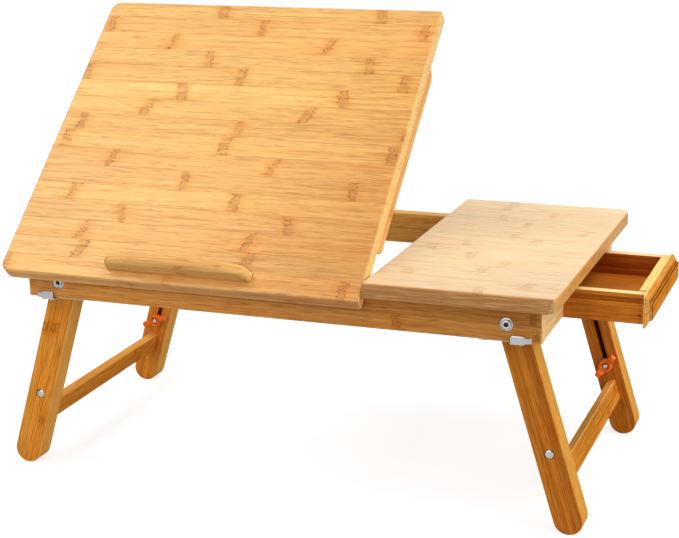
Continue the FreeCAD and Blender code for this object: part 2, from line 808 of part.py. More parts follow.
def leg_catch():
    """Bent spring-steel strip under the front rail, its outer end turned up and bent back to the rail."""
    top, low = catch_levels()
    sx, sy = catch_screw_place()
    y0 = sy - catch_strip_width / 2.0
    y1 = sy + catch_strip_width / 2.0
    tip = catch_corner_radius
    x1 = leg_pivot_inset + catch_strip_inner
    strip = slab(catch_tab_bend, x1, y0, y1, low, top, (tip, tip, tip, tip))
    front = -catch_tab_reach
    inner = front + catch_thickness
    back = -catch_tab_return
    apron = prism([V(catch_tab_end, front, low), V(catch_tab_bend, front, low),
                   V(catch_tab_bend, y0 + tip, low), V(catch_tab_end + catch_tab_reach, y0 + tip, low)],
                  V(0, 0, catch_thickness))
    tab = prism([V(catch_tab_end, front, low), V(catch_tab_bend, front, low),
                 V(catch_tab_start, back - catch_thickness, low), V(catch_tab_start, back, low),
                 V(catch_tab_bend, inner, low), V(catch_tab_end, inner, low)], V(0, 0, catch_tab_height))
    crest = low + catch_tab_height
    tab = rounded(tab, tip, lambda e: runs_along(e, "y") and at_height(e, crest))
    shape = strip.fuse(apron).fuse(tab).removeSplitter()
    return shape.cut(flat_bore(catch_screw_radius + bore_play, shank_side_count, "z", (sx, sy), low - 1,
                               top + 1))


def catch_screw():
    low = catch_levels()[1]
    centre = catch_screw_place()
    seat = low - piece_gap
    crown = seat - catch_screw_head_height
    tip = -rail_height + catch_screw_length
    shank = flat_sided(catch_screw_radius, shank_side_count, "z", centre, seat, tip)
    head = flat_sided(catch_screw_head_radius, head_side_count, "z", centre, crown, seat)
    head = chamfered(head, catch_screw_head_height / 2.0, lambda e: at_height(e, crown))
    return head.fuse(shank).removeSplitter()


def catch_screw_hole():
    return flat_sided(catch_screw_radius, shank_side_count, "z", catch_screw_place(), -rail_height - 1,
                      -rail_height + catch_screw_length)


# ---------------------------------------------------------------- the whole stand
def group(shapes):
    return Part.makeCompound(shapes)


def build():
    """Every node by name, with its solids in the frame's own coordinates."""
    nodes = {}
    near_hole = catch_screw_hole()
    nodes["front_rail"] = rail(True).cut(near_hole).cut(mirrored_length(near_hole))
    nodes["back_rail"] = mirrored_depth(rail(False))
    nodes["left_end_rail"] = left_end_rail()
    nodes["end_block_front"] = end_block()
    nodes["end_block_rear"] = mirrored_depth(end_block())
    nodes["divider"] = divider()
    nodes["drawer_guide_front"] = drawer_guide()
    nodes["drawer_guide_rear"] = mirrored_depth(drawer_guide())
    nodes["drawer_runners"] = group([drawer_runner(), mirrored_depth(drawer_runner())])
    nodes["side_top"] = side_top()
    nodes["tilt_top"] = tilt_top()
    nodes["batten_left"] = batten()
    nodes["batten_right"] = mirrored_bay(batten())
    nodes["stop_ledge"] = stop_ledge()
    nodes["hinge_lower_leaves"] = group([hinge_leaf(x, False) for x in hinge_starts()])
    nodes["hinge_upper_leaves"] = group([hinge_leaf(x, True) for x in hinge_starts()])
    nodes["hinge_pins"] = group([hinge_pin(x) for x in hinge_starts()])
    nodes["prop_rod"] = prop_rod()
    nodes["prop_bar"] = prop_bar()
    nodes["prop_arm_left"] = prop_arm()
    nodes["prop_arm_right"] = mirrored_bay(prop_arm())
    nodes["prop_slat"] = prop_slat()
    nodes["drawer_side_front"] = drawer_side()
    nodes["drawer_side_rear"] = mirrored_depth(drawer_side())
    nodes["drawer_back"] = drawer_back()
    nodes["drawer_bottom"] = drawer_bottom()
    nodes["drawer_front"] = drawer_front()
    for side, x in zip(("left", "right"), leg_pivots()):
        for name, shape in (("pivot_slat", pivot_slat()), ("sliding_slat", sliding_slat())):
            near = stood(shape, x, side)
            nodes[f"{side}_{name}_front"] = near
            nodes[f"{side}_{name}_rear"] = mirrored_depth(near)
        nodes[f"{side}_wing_nut_front"] = stood(wing_nut(wing_turn_front), x, side)
        nodes[f"{side}_wing_nut_rear"] = mirrored_depth(stood(wing_nut(wing_turn_rear), x, side))
        nodes[f"{side}_stretcher"] = stood(stretcher(), x, side)
        for name, shape in (("clamp_bolts", clamp_bolt()), ("washers", washer())):
            near = stood(shape, x, side)
            nodes[f"{side}_{name}"] = group([near, mirrored_depth(near)])
    bolts = [pivot_bolt(x) for x in leg_pivots()]
    nuts = [pivot_nut(x) for x in leg_pivots()]
    nodes["leg_pivot_bolts"] = group(bolts + [mirrored_depth(bolt) for bolt in bolts])
    nodes["leg_pivot_nuts"] = group(nuts + [mirrored_depth(nut) for nut in nuts])
    nodes["left_catch"] = leg_catch()
    nodes["right_catch"] = mirrored_length(leg_catch())
    nodes["catch_screws"] = group([catch_screw(), mirrored_length(catch_screw())])
    return nodes


def origin_shift(nodes):
    """From the frame's corner to the bottom centre of the box round the stand as it stands."""
    box = FreeCAD.BoundBox()
    for shape in nodes.values():
        box.add(shape.optimalBoundingBox(False, False))
    return V(-(box.XMin + box.XMax) / 2.0, -(box.YMin + box.YMax) / 2.0, -box.ZMin)


def main():
    os.makedirs("parts", exist_ok=True)
    nodes = build()
    shift = origin_shift(nodes)
    for name, shape in nodes.items():
        shape.translated(shift).exportStep(f"parts/{name}.step")
    print("nodes", len(nodes), "shift", round(shift.x, 3), round(shift.y, 3), round(shift.z, 3))


main()
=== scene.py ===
import math
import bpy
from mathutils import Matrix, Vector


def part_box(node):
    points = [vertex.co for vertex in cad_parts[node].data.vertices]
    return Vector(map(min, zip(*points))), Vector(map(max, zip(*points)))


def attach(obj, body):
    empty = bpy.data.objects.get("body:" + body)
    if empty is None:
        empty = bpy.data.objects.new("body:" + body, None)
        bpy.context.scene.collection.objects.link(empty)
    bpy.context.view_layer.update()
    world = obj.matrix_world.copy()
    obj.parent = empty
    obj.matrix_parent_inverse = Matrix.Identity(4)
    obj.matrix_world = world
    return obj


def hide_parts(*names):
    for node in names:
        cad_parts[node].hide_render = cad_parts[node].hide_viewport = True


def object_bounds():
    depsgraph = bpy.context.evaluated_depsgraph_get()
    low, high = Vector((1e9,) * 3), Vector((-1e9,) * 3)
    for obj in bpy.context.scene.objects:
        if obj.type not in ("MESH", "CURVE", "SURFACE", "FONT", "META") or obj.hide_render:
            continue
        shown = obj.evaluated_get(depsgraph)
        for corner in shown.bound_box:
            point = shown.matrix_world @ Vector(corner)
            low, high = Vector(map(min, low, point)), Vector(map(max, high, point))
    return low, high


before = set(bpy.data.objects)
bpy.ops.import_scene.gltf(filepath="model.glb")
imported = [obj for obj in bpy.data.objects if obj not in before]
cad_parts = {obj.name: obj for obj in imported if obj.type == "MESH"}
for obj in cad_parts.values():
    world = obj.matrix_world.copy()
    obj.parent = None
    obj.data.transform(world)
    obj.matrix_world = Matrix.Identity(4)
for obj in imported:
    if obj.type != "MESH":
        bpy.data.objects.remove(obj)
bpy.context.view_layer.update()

from types import SimpleNamespace

import bmesh
import bpy
import numpy as np
from mathutils import Matrix, Vector

# ---- camera: a step to the right of the stand, a little above its tops
cameraSet = {
    "offset": Vector((0.82006, -1.33099, 0.41496)),  # metres from the left front corner of the rails' tops
    "yaw": 0.3557,
    "pitch": -0.2705,
    "roll": -0.0142,
    "lens": 85.87,
    "sensor": 36.0,
}


def addCamera():
    low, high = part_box("front_rail")
    yaw, pitch, roll = cameraSet["yaw"], cameraSet["pitch"], cameraSet["roll"]
    ahead = Vector((-math.sin(yaw) * math.cos(pitch), math.cos(yaw) * math.cos(pitch), math.sin(pitch)))
    level = Vector((math.cos(yaw), math.sin(yaw), 0.0))
    upright = level.cross(ahead)
    right = math.cos(roll) * level + math.sin(roll) * upright
    up = -math.sin(roll) * level + math.cos(roll) * upright
    data = bpy.data.cameras.new("camera")
    data.sensor_fit = "HORIZONTAL"
    data.sensor_width = cameraSet["sensor"]
    data.lens = cameraSet["lens"]
    data.clip_start = 0.05
    data.clip_end = 60.0
    camera = bpy.data.objects.new("camera", data)
    bpy.context.scene.collection.objects.link(camera)
    turn = Matrix((right, up, -ahead)).transposed().to_4x4()
    camera.matrix_world = Matrix.Translation(Vector((low.x, low.y, high.z)) + cameraSet["offset"]) @ turn
    bpy.context.scene.camera = camera


addCamera()
print("camera placed")

# ---- node helpers: add() makes a node and fills its inputs, calc() is one Math node


def add(tree, kind, inputs=None, **settings):
    made = tree.nodes.new(kind)
    for name, value in settings.items():
        setattr(made, name, value)
    for key, value in (inputs or {}).items():
        if isinstance(value, bpy.types.NodeSocket):
            tree.links.new(value, made.inputs[key])
        else:
            made.inputs[key].default_value = value
    return made


def calc(tree, operation, *values):
    return add(tree, "ShaderNodeMath", dict(enumerate(values)), operation=operation).outputs[0]


def fade(tree, value, start, end, atStart=0.0, atEnd=1.0):
    # a smooth step from atStart to atEnd as the value goes from start to end
    inputs = {"Value": value, "From Min": start, "From Max": end, "To Min": atStart, "To Max": atEnd}
    return add(tree, "ShaderNodeMapRange", inputs, interpolation_type="SMOOTHSTEP").outputs["Result"]


def blendColor(tree, factor, first, second, mode="MIX"):
    made = add(tree, "ShaderNodeMix", data_type="RGBA", blend_type=mode)
    for place, value in ((0, factor), (6, first), (7, second)):
        if isinstance(value, bpy.types.NodeSocket):
            tree.links.new(value, made.inputs[place])
        else:
            made.inputs[place].default_value = value if place == 0 else (*value, 1.0)
    return made.outputs[2]


def stretched(tree, place, scale, detail=2.0, roughness=0.5, distortion=0.0):
    # noise drawn out along the grain: a small scale along it, larger ones across
    drawn = add(tree, "ShaderNodeMapping", {"Vector": place, "Scale": scale}).outputs[0]
    inputs = {"Vector": drawn, "Scale": 1.0, "Detail": detail, "Roughness": roughness,
              "Distortion": distortion}
    return add(tree, "ShaderNodeTexNoise", inputs).outputs["Fac"]


def newMaterial(name):
    material = bpy.data.materials.new(name)
    material.use_nodes = True
    return material, material.node_tree, material.node_tree.nodes["Principled BSDF"]


def wear(name, material):
    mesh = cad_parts[name].data
    mesh.materials.clear()
    mesh.materials.append(material)


# ---- bamboo: strips glued side by side, each with its own tone, fibres, and rings where the cane had joints
bambooSet = {
    "pale": (0.90, 0.52, 0.165),
    "mid": (0.80, 0.41, 0.105),
    "streak": (0.46, 0.18, 0.035),
    "ring": (0.34, 0.115, 0.020),
    "endPale": (0.92, 0.58, 0.22),
    "endDark": (0.40, 0.16, 0.035),
    "strip": 0.0221,  # width of a strip, metres
    "layer": 0.0049,  # thickness of a strip
    "phase": 0.0,  # moves the strips' edges, in strips
    "ringGap": 0.24,  # between a strip's rings, metres
    "ringDepth": 0.85,  # how dark the rings are
    "haloDepth": 1.0,  # and the warm tone round them
    "toneSpread": 0.16,  # from strip to strip
    "cloud": 0.20,  # slow changes of tone along a board
    "fibre": 1.0,  # how dark streaks, flecks and hairs are
    "edge": (0.96, 0.70, 0.32),  # tone of the narrow edges: partly the side of the cane, partly painted light and shade for how those faces are lit
    "edgeDepth": 0.0,
    "drift": None,  # painted shade: the tone falls towards one corner as the light falls off: along, across, how far, and the tone there
    "patches": (),  # ends of a finger joint: along from, to, across from, to, millimetres from the middle
    "hollow": None,  # painted shadow on the floor of a slot: the way it faces, and half its width in millimetres
    # the near-black colour of that painted slot shadow
    "slotShadowTone": (0.030, 0.006, 0.002),
    "panel": None,  # painted shadow line round a raised panel, the same four numbers as a patch
    # the dark colour of that painted shadow line
    "panelShadowTone": (0.075, 0.018, 0.003),
    "roughness": 0.42,
    "specular": 0.05,
}


def localFrame(name, grain, face):
    # the piece's own axes: x along the grain, z out of its wide face, and its box in them
    x = Vector(grain).normalized()
    z = Vector(face).normalized()
    turn = Matrix((x, z.cross(x), z)).transposed()
    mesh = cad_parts[name].data
    points = np.empty(len(mesh.vertices) * 3)
    mesh.vertices.foreach_get("co", points)
    local = points.reshape(-1, 3) @ np.array(turn)
    low, high = local.min(0), local.max(0)
    centre = turn @ Vector((low + high) / 2)
    return turn, centre, (high - low) / 2


def ringDistance(tree, values, along, shift):
    # how far a point is along the grain from its strip's nearest ring
    turnAt = calc(tree, "ADD", calc(tree, "DIVIDE", along, values["ringGap"]), shift)
    folded = calc(tree, "SUBTRACT", calc(tree, "FRACT", turnAt), 0.5)
    return calc(tree, "MULTIPLY", folded, values["ringGap"])


def insideBox(tree, at, limits):
    # 1 inside a rectangle given in millimetres, with soft edges, and 1 on a thin line round it
    first, last, near, far = (value / 1000.0 for value in limits)
    toMiddle = calc(tree, "SUBTRACT", at.along, (first + last) / 2.0)
    aside = calc(tree, "SUBTRACT", calc(tree, "ABSOLUTE", toMiddle), abs(last - first) / 2.0)
    toMiddle = calc(tree, "SUBTRACT", at.across, (near + far) / 2.0)
    above = calc(tree, "SUBTRACT", calc(tree, "ABSOLUTE", toMiddle), abs(far - near) / 2.0)
    out = calc(tree, "MAXIMUM", aside, above)
    line = fade(tree, calc(tree, "ABSOLUTE", out), 0.0004, 0.0013, 1.0, 0.0)
    return fade(tree, out, -0.0002, 0.0002, 1.0, 0.0), line


def facing(tree, at, way):
    # how far a surface faces along a direction: 1 straight along it, 0 across it, -1 straight against it
    inputs = {0: at.normal, 1: tuple(way)}
    return add(tree, "ShaderNodeVectorMath", inputs, operation="DOT_PRODUCT").outputs["Value"]


def towards(tree, at, way):
    # the same, either way round
    return calc(tree, "ABSOLUTE", facing(tree, at, way))


def boardPlace(tree, name, grain, face, values):
    # a point's place in the board, in metres from its middle, its strip and layer, and their dice
    turn, centre, half = localFrame(name, grain, face)
    source = add(tree, "ShaderNodeTexCoord")
    inputs = {"Vector": source.outputs["Object"], "Location": centre, "Rotation": turn.to_euler()}
    local = add(tree, "ShaderNodeMapping", inputs, vector_type="TEXTURE").outputs[0]
    along, across, deep = add(tree, "ShaderNodeSeparateXYZ", {0: local}).outputs
    stripAt = calc(tree, "ADD", calc(tree, "DIVIDE", across, values["strip"]), values["phase"])
    layerAt = calc(tree, "ADD", calc(tree, "DIVIDE", deep, values["layer"]), 0.5)
    strip = calc(tree, "FLOOR", stripAt)
    inStrip = calc(tree, "SUBTRACT", calc(tree, "FRACT", stripAt), 0.5)
    inLayer = calc(tree, "SUBTRACT", calc(tree, "FRACT", layerAt), 0.5)
    seed = float(values["seed"])
    cell = add(tree, "ShaderNodeCombineXYZ", {0: strip, 1: calc(tree, "FLOOR", layerAt), 2: seed}).outputs[0]
    dice = add(tree, "ShaderNodeTexWhiteNoise", {"Vector": cell}, noise_dimensions="3D").outputs["Color"]
    tone, shift, warmth = add(tree, "ShaderNodeSeparateColor", {0: dice}).outputs
    apart = add(tree, "ShaderNodeVectorMath", {0: dice, 1: (3.0, 3.0, 3.0)}, operation="MULTIPLY").outputs[0]
    fibre = add(tree, "ShaderNodeVectorMath", {0: local, 1: apart}, operation="ADD").outputs[0]
    return SimpleNamespace(
        face=face, turn=turn, half=half, normal=source.outputs["Normal"], local=local, fibre=fibre,
        along=along, across=across, deep=deep, inStrip=inStrip, inLayer=inLayer,
        tone=tone, shift=shift, warmth=warmth)


def fibres(tree, at):
    # broad soft bands, wavy streaks, short flecks and hairs, and slow changes over the whole board
    cloud = add(tree, "ShaderNodeTexNoise", {"Vector": at.local, "Scale": 7.0, "Detail": 2.0})
    return SimpleNamespace(
        cloud=cloud.outputs["Fac"],
        band=stretched(tree, at.fibre, (4.0, 260.0, 260.0), 3.0, 0.6),
        streak=stretched(tree, at.fibre, (26.0, 620.0, 620.0), 3.0, 0.65, 0.5),
        fleck=stretched(tree, at.fibre, (60.0, 1000.0, 1000.0), 2.0, 0.6, 0.4),
        hair=stretched(tree, at.fibre, (60.0, 2600.0, 2600.0), 1.0),
        ragged=stretched(tree, at.fibre, (130.0, 260.0, 260.0), 3.0, 0.6))


def ringMarks(tree, at, grains, values):
    # a slanting ragged band across the strip, its rims and inside full of dots, and the warm halo round it
    gap = ringDistance(tree, values, at.along, at.shift)
    slant = calc(tree, "MULTIPLY", at.inStrip, calc(tree, "MULTIPLY_ADD", at.shift, 0.016, -0.008))
    wander = calc(tree, "MULTIPLY_ADD", grains.ragged, 0.012, -0.006)
    bent = calc(tree, "ABSOLUTE", calc(tree, "ADD", calc(tree, "ADD", gap, slant), wander))
    toRim = calc(tree, "SUBTRACT", bent, calc(tree, "MULTIPLY_ADD", at.warmth, 0.0022, 0.0026))
    inside = fade(tree, toRim, 0.0, 0.0022, 1.0, 0.0)
    rim = fade(tree, calc(tree, "ABSOLUTE", toRim), 0.0002, 0.0014, 1.0, 0.0)
    dots = fade(tree, stretched(tree, at.fibre, (480.0, 800.0, 800.0), 2.0, 0.7, 0.8), 0.47, 0.60)
    patchy = fade(tree, stretched(tree, at.fibre, (90.0, 160.0, 160.0), 1.0), 0.34, 0.56)
    filled = calc(tree, "MULTIPLY_ADD", rim, 0.45, calc(tree, "MULTIPLY", inside, 0.62))
    filled = calc(tree, "MULTIPLY", filled, dots)
    depth = values["ringDepth"]
    ring = calc(tree, "MULTIPLY", calc(tree, "MULTIPLY", filled, patchy), depth)
    ring = calc(tree, "ADD", ring, calc(tree, "MULTIPLY", inside, 0.15 * depth))
    return ring, fade(tree, bent, 0.003, 0.016, 1.0, 0.0)


def stripTint(tree, at, grains, halo, values):
    # each strip a tone of its own, some warmer than others, and warmer again in a ring's halo
    spread, cloud, depth = values["toneSpread"], values["cloud"], values["haloDepth"]
    shade = calc(tree, "MULTIPLY_ADD", at.tone, spread, 1.0 - spread / 2.0)
    shade = calc(tree, "MULTIPLY", shade, calc(tree, "MULTIPLY_ADD", grains.cloud, cloud, 1.0 - cloud / 2.0))
    warm = calc(tree, "MULTIPLY", shade, calc(tree, "MULTIPLY_ADD", at.warmth, 0.09, 0.94))
    warm = calc(tree, "MULTIPLY", warm, calc(tree, "MULTIPLY_ADD", halo, -0.13 * depth, 1.0))
    cool = calc(tree, "MULTIPLY", warm, calc(tree, "MULTIPLY_ADD", halo, -0.22 * depth, 1.0))
    return add(tree, "ShaderNodeCombineColor", {0: shade, 1: warm, 2: cool}).outputs[0]


def fibreColor(tree, grains, values):
    # pale to mid by band, darker along the streaks, flecks and hairs, paler between the streaks
    color = blendColor(tree, fade(tree, grains.band, 0.32, 0.68), values["pale"], values["mid"])
    darker = ((grains.streak, 0.50, 0.64, 0.44), (grains.fleck, 0.53, 0.67, 0.46),
              (grains.hair, 0.5, 0.8, 0.26))
    for noise, first, last, depth in darker:
        dark = calc(tree, "MULTIPLY", fade(tree, noise, first, last), depth * values["fibre"])
        color = blendColor(tree, dark, color, values["streak"])
    light = calc(tree, "MULTIPLY", fade(tree, grains.streak, 0.34, 0.47, 1.0, 0.0), 0.45 * values["fibre"])
    return blendColor(tree, light, color, values["pale"])


def paintShadeFalloff(tree, at, color, drift):
    # painted shade: the tone falls towards one corner of the board, where less light reaches it
    toX, toY, reach, fallen = drift
    toward = calc(tree, "ADD", calc(tree, "MULTIPLY", at.along, toX / float(at.half[0])),
                  calc(tree, "MULTIPLY", at.across, toY / float(at.half[1])))
    low = blendColor(tree, 1.0, color, fallen, "MULTIPLY")
    return blendColor(tree, fade(tree, toward, -reach, 1.6), color, low)


def edgeLightAndShade(tree, at, grains, color, tint, sideways, values):
    # the board's two narrow edges, which show the cane from its side, with painted light and shade: paler
    # where they are lit, darker where they are in shade
    atEdge = fade(tree, calc(tree, "ABSOLUTE", at.across), at.half[1] * 0.55, at.half[1] * 0.8)
    edgeOn = calc(tree, "MULTIPLY", fade(tree, sideways, 0.35, 0.8), atEdge)
    tone = blendColor(tree, 1.0, values["edge"], tint, "MULTIPLY")
    lined = calc(tree, "MULTIPLY", fade(tree, grains.streak, 0.50, 0.62), 0.34)
    tone = blendColor(tree, lined, tone, values["mid"])
    return blendColor(tree, calc(tree, "MULTIPLY", edgeOn, values["edgeDepth"]), color, tone)


def glueLines(tree, at, sideways, values):
    # lines between strips and between layers, except where the surface itself lies along one
    strips = fade(tree, calc(tree, "ABSOLUTE", at.inStrip), 0.5 - 0.0005 / values["strip"], 0.5)
    strips = calc(tree, "MULTIPLY", strips, fade(tree, sideways, 0.4, 0.8, 1.0, 0.0))
    outwards = towards(tree, at, at.turn @ Vector((0.0, 0.0, 1.0)))
    layers = fade(tree, calc(tree, "ABSOLUTE", at.inLayer), 0.5 - 0.0004 / values["layer"], 0.5)
    layers = calc(tree, "MULTIPLY", layers, fade(tree, outwards, 0.4, 0.8, 1.0, 0.0))
    return calc(tree, "MAXIMUM", strips, calc(tree, "MULTIPLY", layers, 0.8))


def endPores(tree, at):
    # the dots of cut fibres, in blotches
    pores = add(tree, "ShaderNodeTexVoronoi", {"Vector": at.local, "Scale": 620.0}).outputs["Distance"]
    inputs = {"Vector": at.local, "Scale": 330.0, "Detail": 3.0}
    blotch = add(tree, "ShaderNodeTexNoise", inputs).outputs["Fac"]
    dotted = fade(tree, pores, 0.12, 0.55, 1.0, 0.0)
    return calc(tree, "MULTIPLY", dotted, fade(tree, blotch, 0.36, 0.56, 0.15, 1.0))


def jointed(tree, at, color, pores, values):
    # the ends of a finger joint's fingers, with a dark line round each
    for limits in values["patches"]:
        within, line = insideBox(tree, at, limits)
        plug = blendColor(tree, pores, values["streak"], values["endDark"])
        color = blendColor(tree, calc(tree, "MULTIPLY", within, 0.72), color, plug)
        color = blendColor(tree, calc(tree, "MULTIPLY", line, 0.35), color, values["ring"])
    return color


def paintPanelShadow(tree, at, color, values):
    # a painted shadow line round a raised panel, on the outer face only
    line = insideBox(tree, at, values["panel"])[1]
    line = calc(tree, "MULTIPLY", line, fade(tree, facing(tree, at, at.face), 0.3, 0.6))
    return blendColor(tree, calc(tree, "MULTIPLY", line, 0.85), color, values["panelShadowTone"])


def paintSlotShadow(tree, at, color, values):
    # painted shadow: the floor behind a slot, which is as wide as the slot, darkened as if deep in shade
    way, reach = values["hollow"]
    away = calc(tree, "ABSOLUTE", at.across)
    floor = calc(tree, "MULTIPLY", fade(tree, facing(tree, at, way), 0.7, 0.9),
                 fade(tree, away, reach / 1000.0 - 0.0004, reach / 1000.0, 1.0, 0.0))
    return blendColor(tree, calc(tree, "MULTIPLY", floor, 0.85), color, values["slotShadowTone"])


def wornEdges(tree, at, grains):
    # 1 within a millimetre or two of two of the box's faces at once, here and there
    inset = [calc(tree, "SUBTRACT", float(reach), calc(tree, "ABSOLUTE", axis))
             for reach, axis in zip(at.half, (at.along, at.across, at.deep))]
    nearer = calc(tree, "MINIMUM", inset[0], inset[1])
    farther = calc(tree, "MAXIMUM", inset[0], inset[1])
    second = calc(tree, "MAXIMUM", nearer, calc(tree, "MINIMUM", farther, inset[2]))
    near = fade(tree, second, 0.0003, 0.0026, 1.0, 0.0)
    return calc(tree, "MULTIPLY", near, fade(tree, grains.ragged, 0.35, 0.65))


def bamboo(name, grain, face, look):
    values = dict(bambooSet, **look)
    material, tree, shader = newMaterial("bamboo_" + name)
    at = boardPlace(tree, name, grain, face, values)
    grains = fibres(tree, at)
    ring, halo = ringMarks(tree, at, grains, values)
    tint = stripTint(tree, at, grains, halo, values)
    color = blendColor(tree, 1.0, fibreColor(tree, grains, values), tint, "MULTIPLY")
    color = blendColor(tree, ring, color, values["ring"])
    if values["drift"]:
        color = paintShadeFalloff(tree, at, color, values["drift"])
    sideways = towards(tree, at, at.turn @ Vector((0.0, 1.0, 0.0)))
    if values["edgeDepth"]:
        color = edgeLightAndShade(tree, at, grains, color, tint, sideways, values)
    seam = glueLines(tree, at, sideways, values)
    gaping = fade(tree, stretched(tree, at.local, (14.0, 40.0, 40.0)), 0.40, 0.62, 0.25, 0.85)
    color = blendColor(tree, calc(tree, "MULTIPLY", seam, gaping), color, values["streak"])

    pores = endPores(tree, at)
    endTone = blendColor(tree, pores, values["endPale"], values["endDark"])
    endTone = blendColor(tree, 1.0, endTone, tint, "MULTIPLY")
    color = blendColor(tree, fade(tree, towards(tree, at, grain), 0.72, 0.92), color, endTone)
    color = jointed(tree, at, color, pores, values)
    if values["panel"]:
        color = paintPanelShadow(tree, at, color, values)
    if values["hollow"]:
        color = paintSlotShadow(tree, at, color, values)
    worn = wornEdges(tree, at, grains)
    color = blendColor(tree, calc(tree, "MULTIPLY", worn, 0.32), color, values["endPale"])
    tree.links.new(color, shader.inputs["Base Color"])

    dull = calc(tree, "MULTIPLY_ADD", grains.band, 0.14, values["roughness"] - 0.07)
    tree.links.new(calc(tree, "ADD", dull, calc(tree, "MULTIPLY", worn, 0.10)), shader.inputs["Roughness"])
    height = calc(tree, "MULTIPLY_ADD", grains.streak, 0.6, calc(tree, "MULTIPLY", grains.fleck, 0.5))
    height = calc(tree, "SUBTRACT", height, calc(tree, "MULTIPLY", seam, 0.7))
    height = calc(tree, "SUBTRACT", height, calc(tree, "MULTIPLY", ring, 0.5))
    bump = add(tree, "ShaderNodeBump", {"Height": height, "Strength": 0.45, "Distance": 0.0004})
    tree.links.new(bump.outputs[0], shader.inputs["Normal"])
    shader.inputs["Specular IOR Level"].default_value = values["specular"]
    return material


tilt = math.radians(41.2)
splay = math.radians(16.8)
xWay, yWay, zWay = (1.0, 0.0, 0.0), (0.0, 1.0, 0.0), (0.0, 0.0, 1.0)
upTop = (0.0, math.cos(tilt), math.sin(tilt))
outTop = (0.0, -math.sin(tilt), math.cos(tilt))
legWay = {"left": (math.sin(splay), 0.0, math.cos(splay)), "right": (-math.sin(splay), 0.0, math.cos(splay))}
legOut = {"left": (math.cos(splay), 0.0, -math.sin(splay)), "right": (math.cos(splay), 0.0, math.sin(splay))}

topGloss = {"specular": 0.45, "roughness": 0.46, "endPale": (0.95, 0.62, 0.22), "endDark": (0.38, 0.14, 0.02)}
railTones = {"pale": (0.77, 0.36, 0.092), "mid": (0.68, 0.285, 0.056), "streak": (0.30, 0.09, 0.013)}
legTones = {
    "pale": (0.86, 0.35, 0.050), "mid": (0.75, 0.26, 0.026), "streak": (0.34, 0.085, 0.008),
    "endPale": (0.80, 0.40, 0.10), "endDark": (0.36, 0.12, 0.02), "edge": (0.94, 0.49, 0.115),
    "edgeDepth": 0.85, "ringDepth": 1.0, "specular": 0.0,
}
# the right-hand legs' tones: legTones darkened as painted shade, the light falling off to the right
rightShadeTones = {
    **legTones, "edge": (0.78, 0.38, 0.070), "pale": (0.58, 0.195, 0.026), "mid": (0.47, 0.140, 0.013),
    "streak": (0.22, 0.048, 0.004),
}
boardTones = {
    **legTones, "pale": (0.72, 0.28, 0.036), "mid": (0.60, 0.20, 0.019), "streak": (0.26, 0.065, 0.006),
}
drawerTones = {
    "pale": (0.62, 0.21, 0.023), "mid": (0.50, 0.14, 0.011), "streak": (0.24, 0.050, 0.004),
    "endPale": (0.72, 0.34, 0.07), "endDark": (0.34, 0.11, 0.015), "edge": (0.98, 0.74, 0.34),
    "edgeDepth": 0.9,
}
# the far drawer side, seen from inside the drawer: drawerTones darkened as painted shade
innerShadeTones = {
    **drawerTones, "pale": (0.44, 0.105, 0.012), "mid": (0.34, 0.07, 0.007), "streak": (0.18, 0.03, 0.003),
}
legStrip = {"strip": 0.00935, "phase": 0.5, "layer": 0.0055, "ringGap": 0.3}
railSet = {"strip": 0.01625, **railTones}
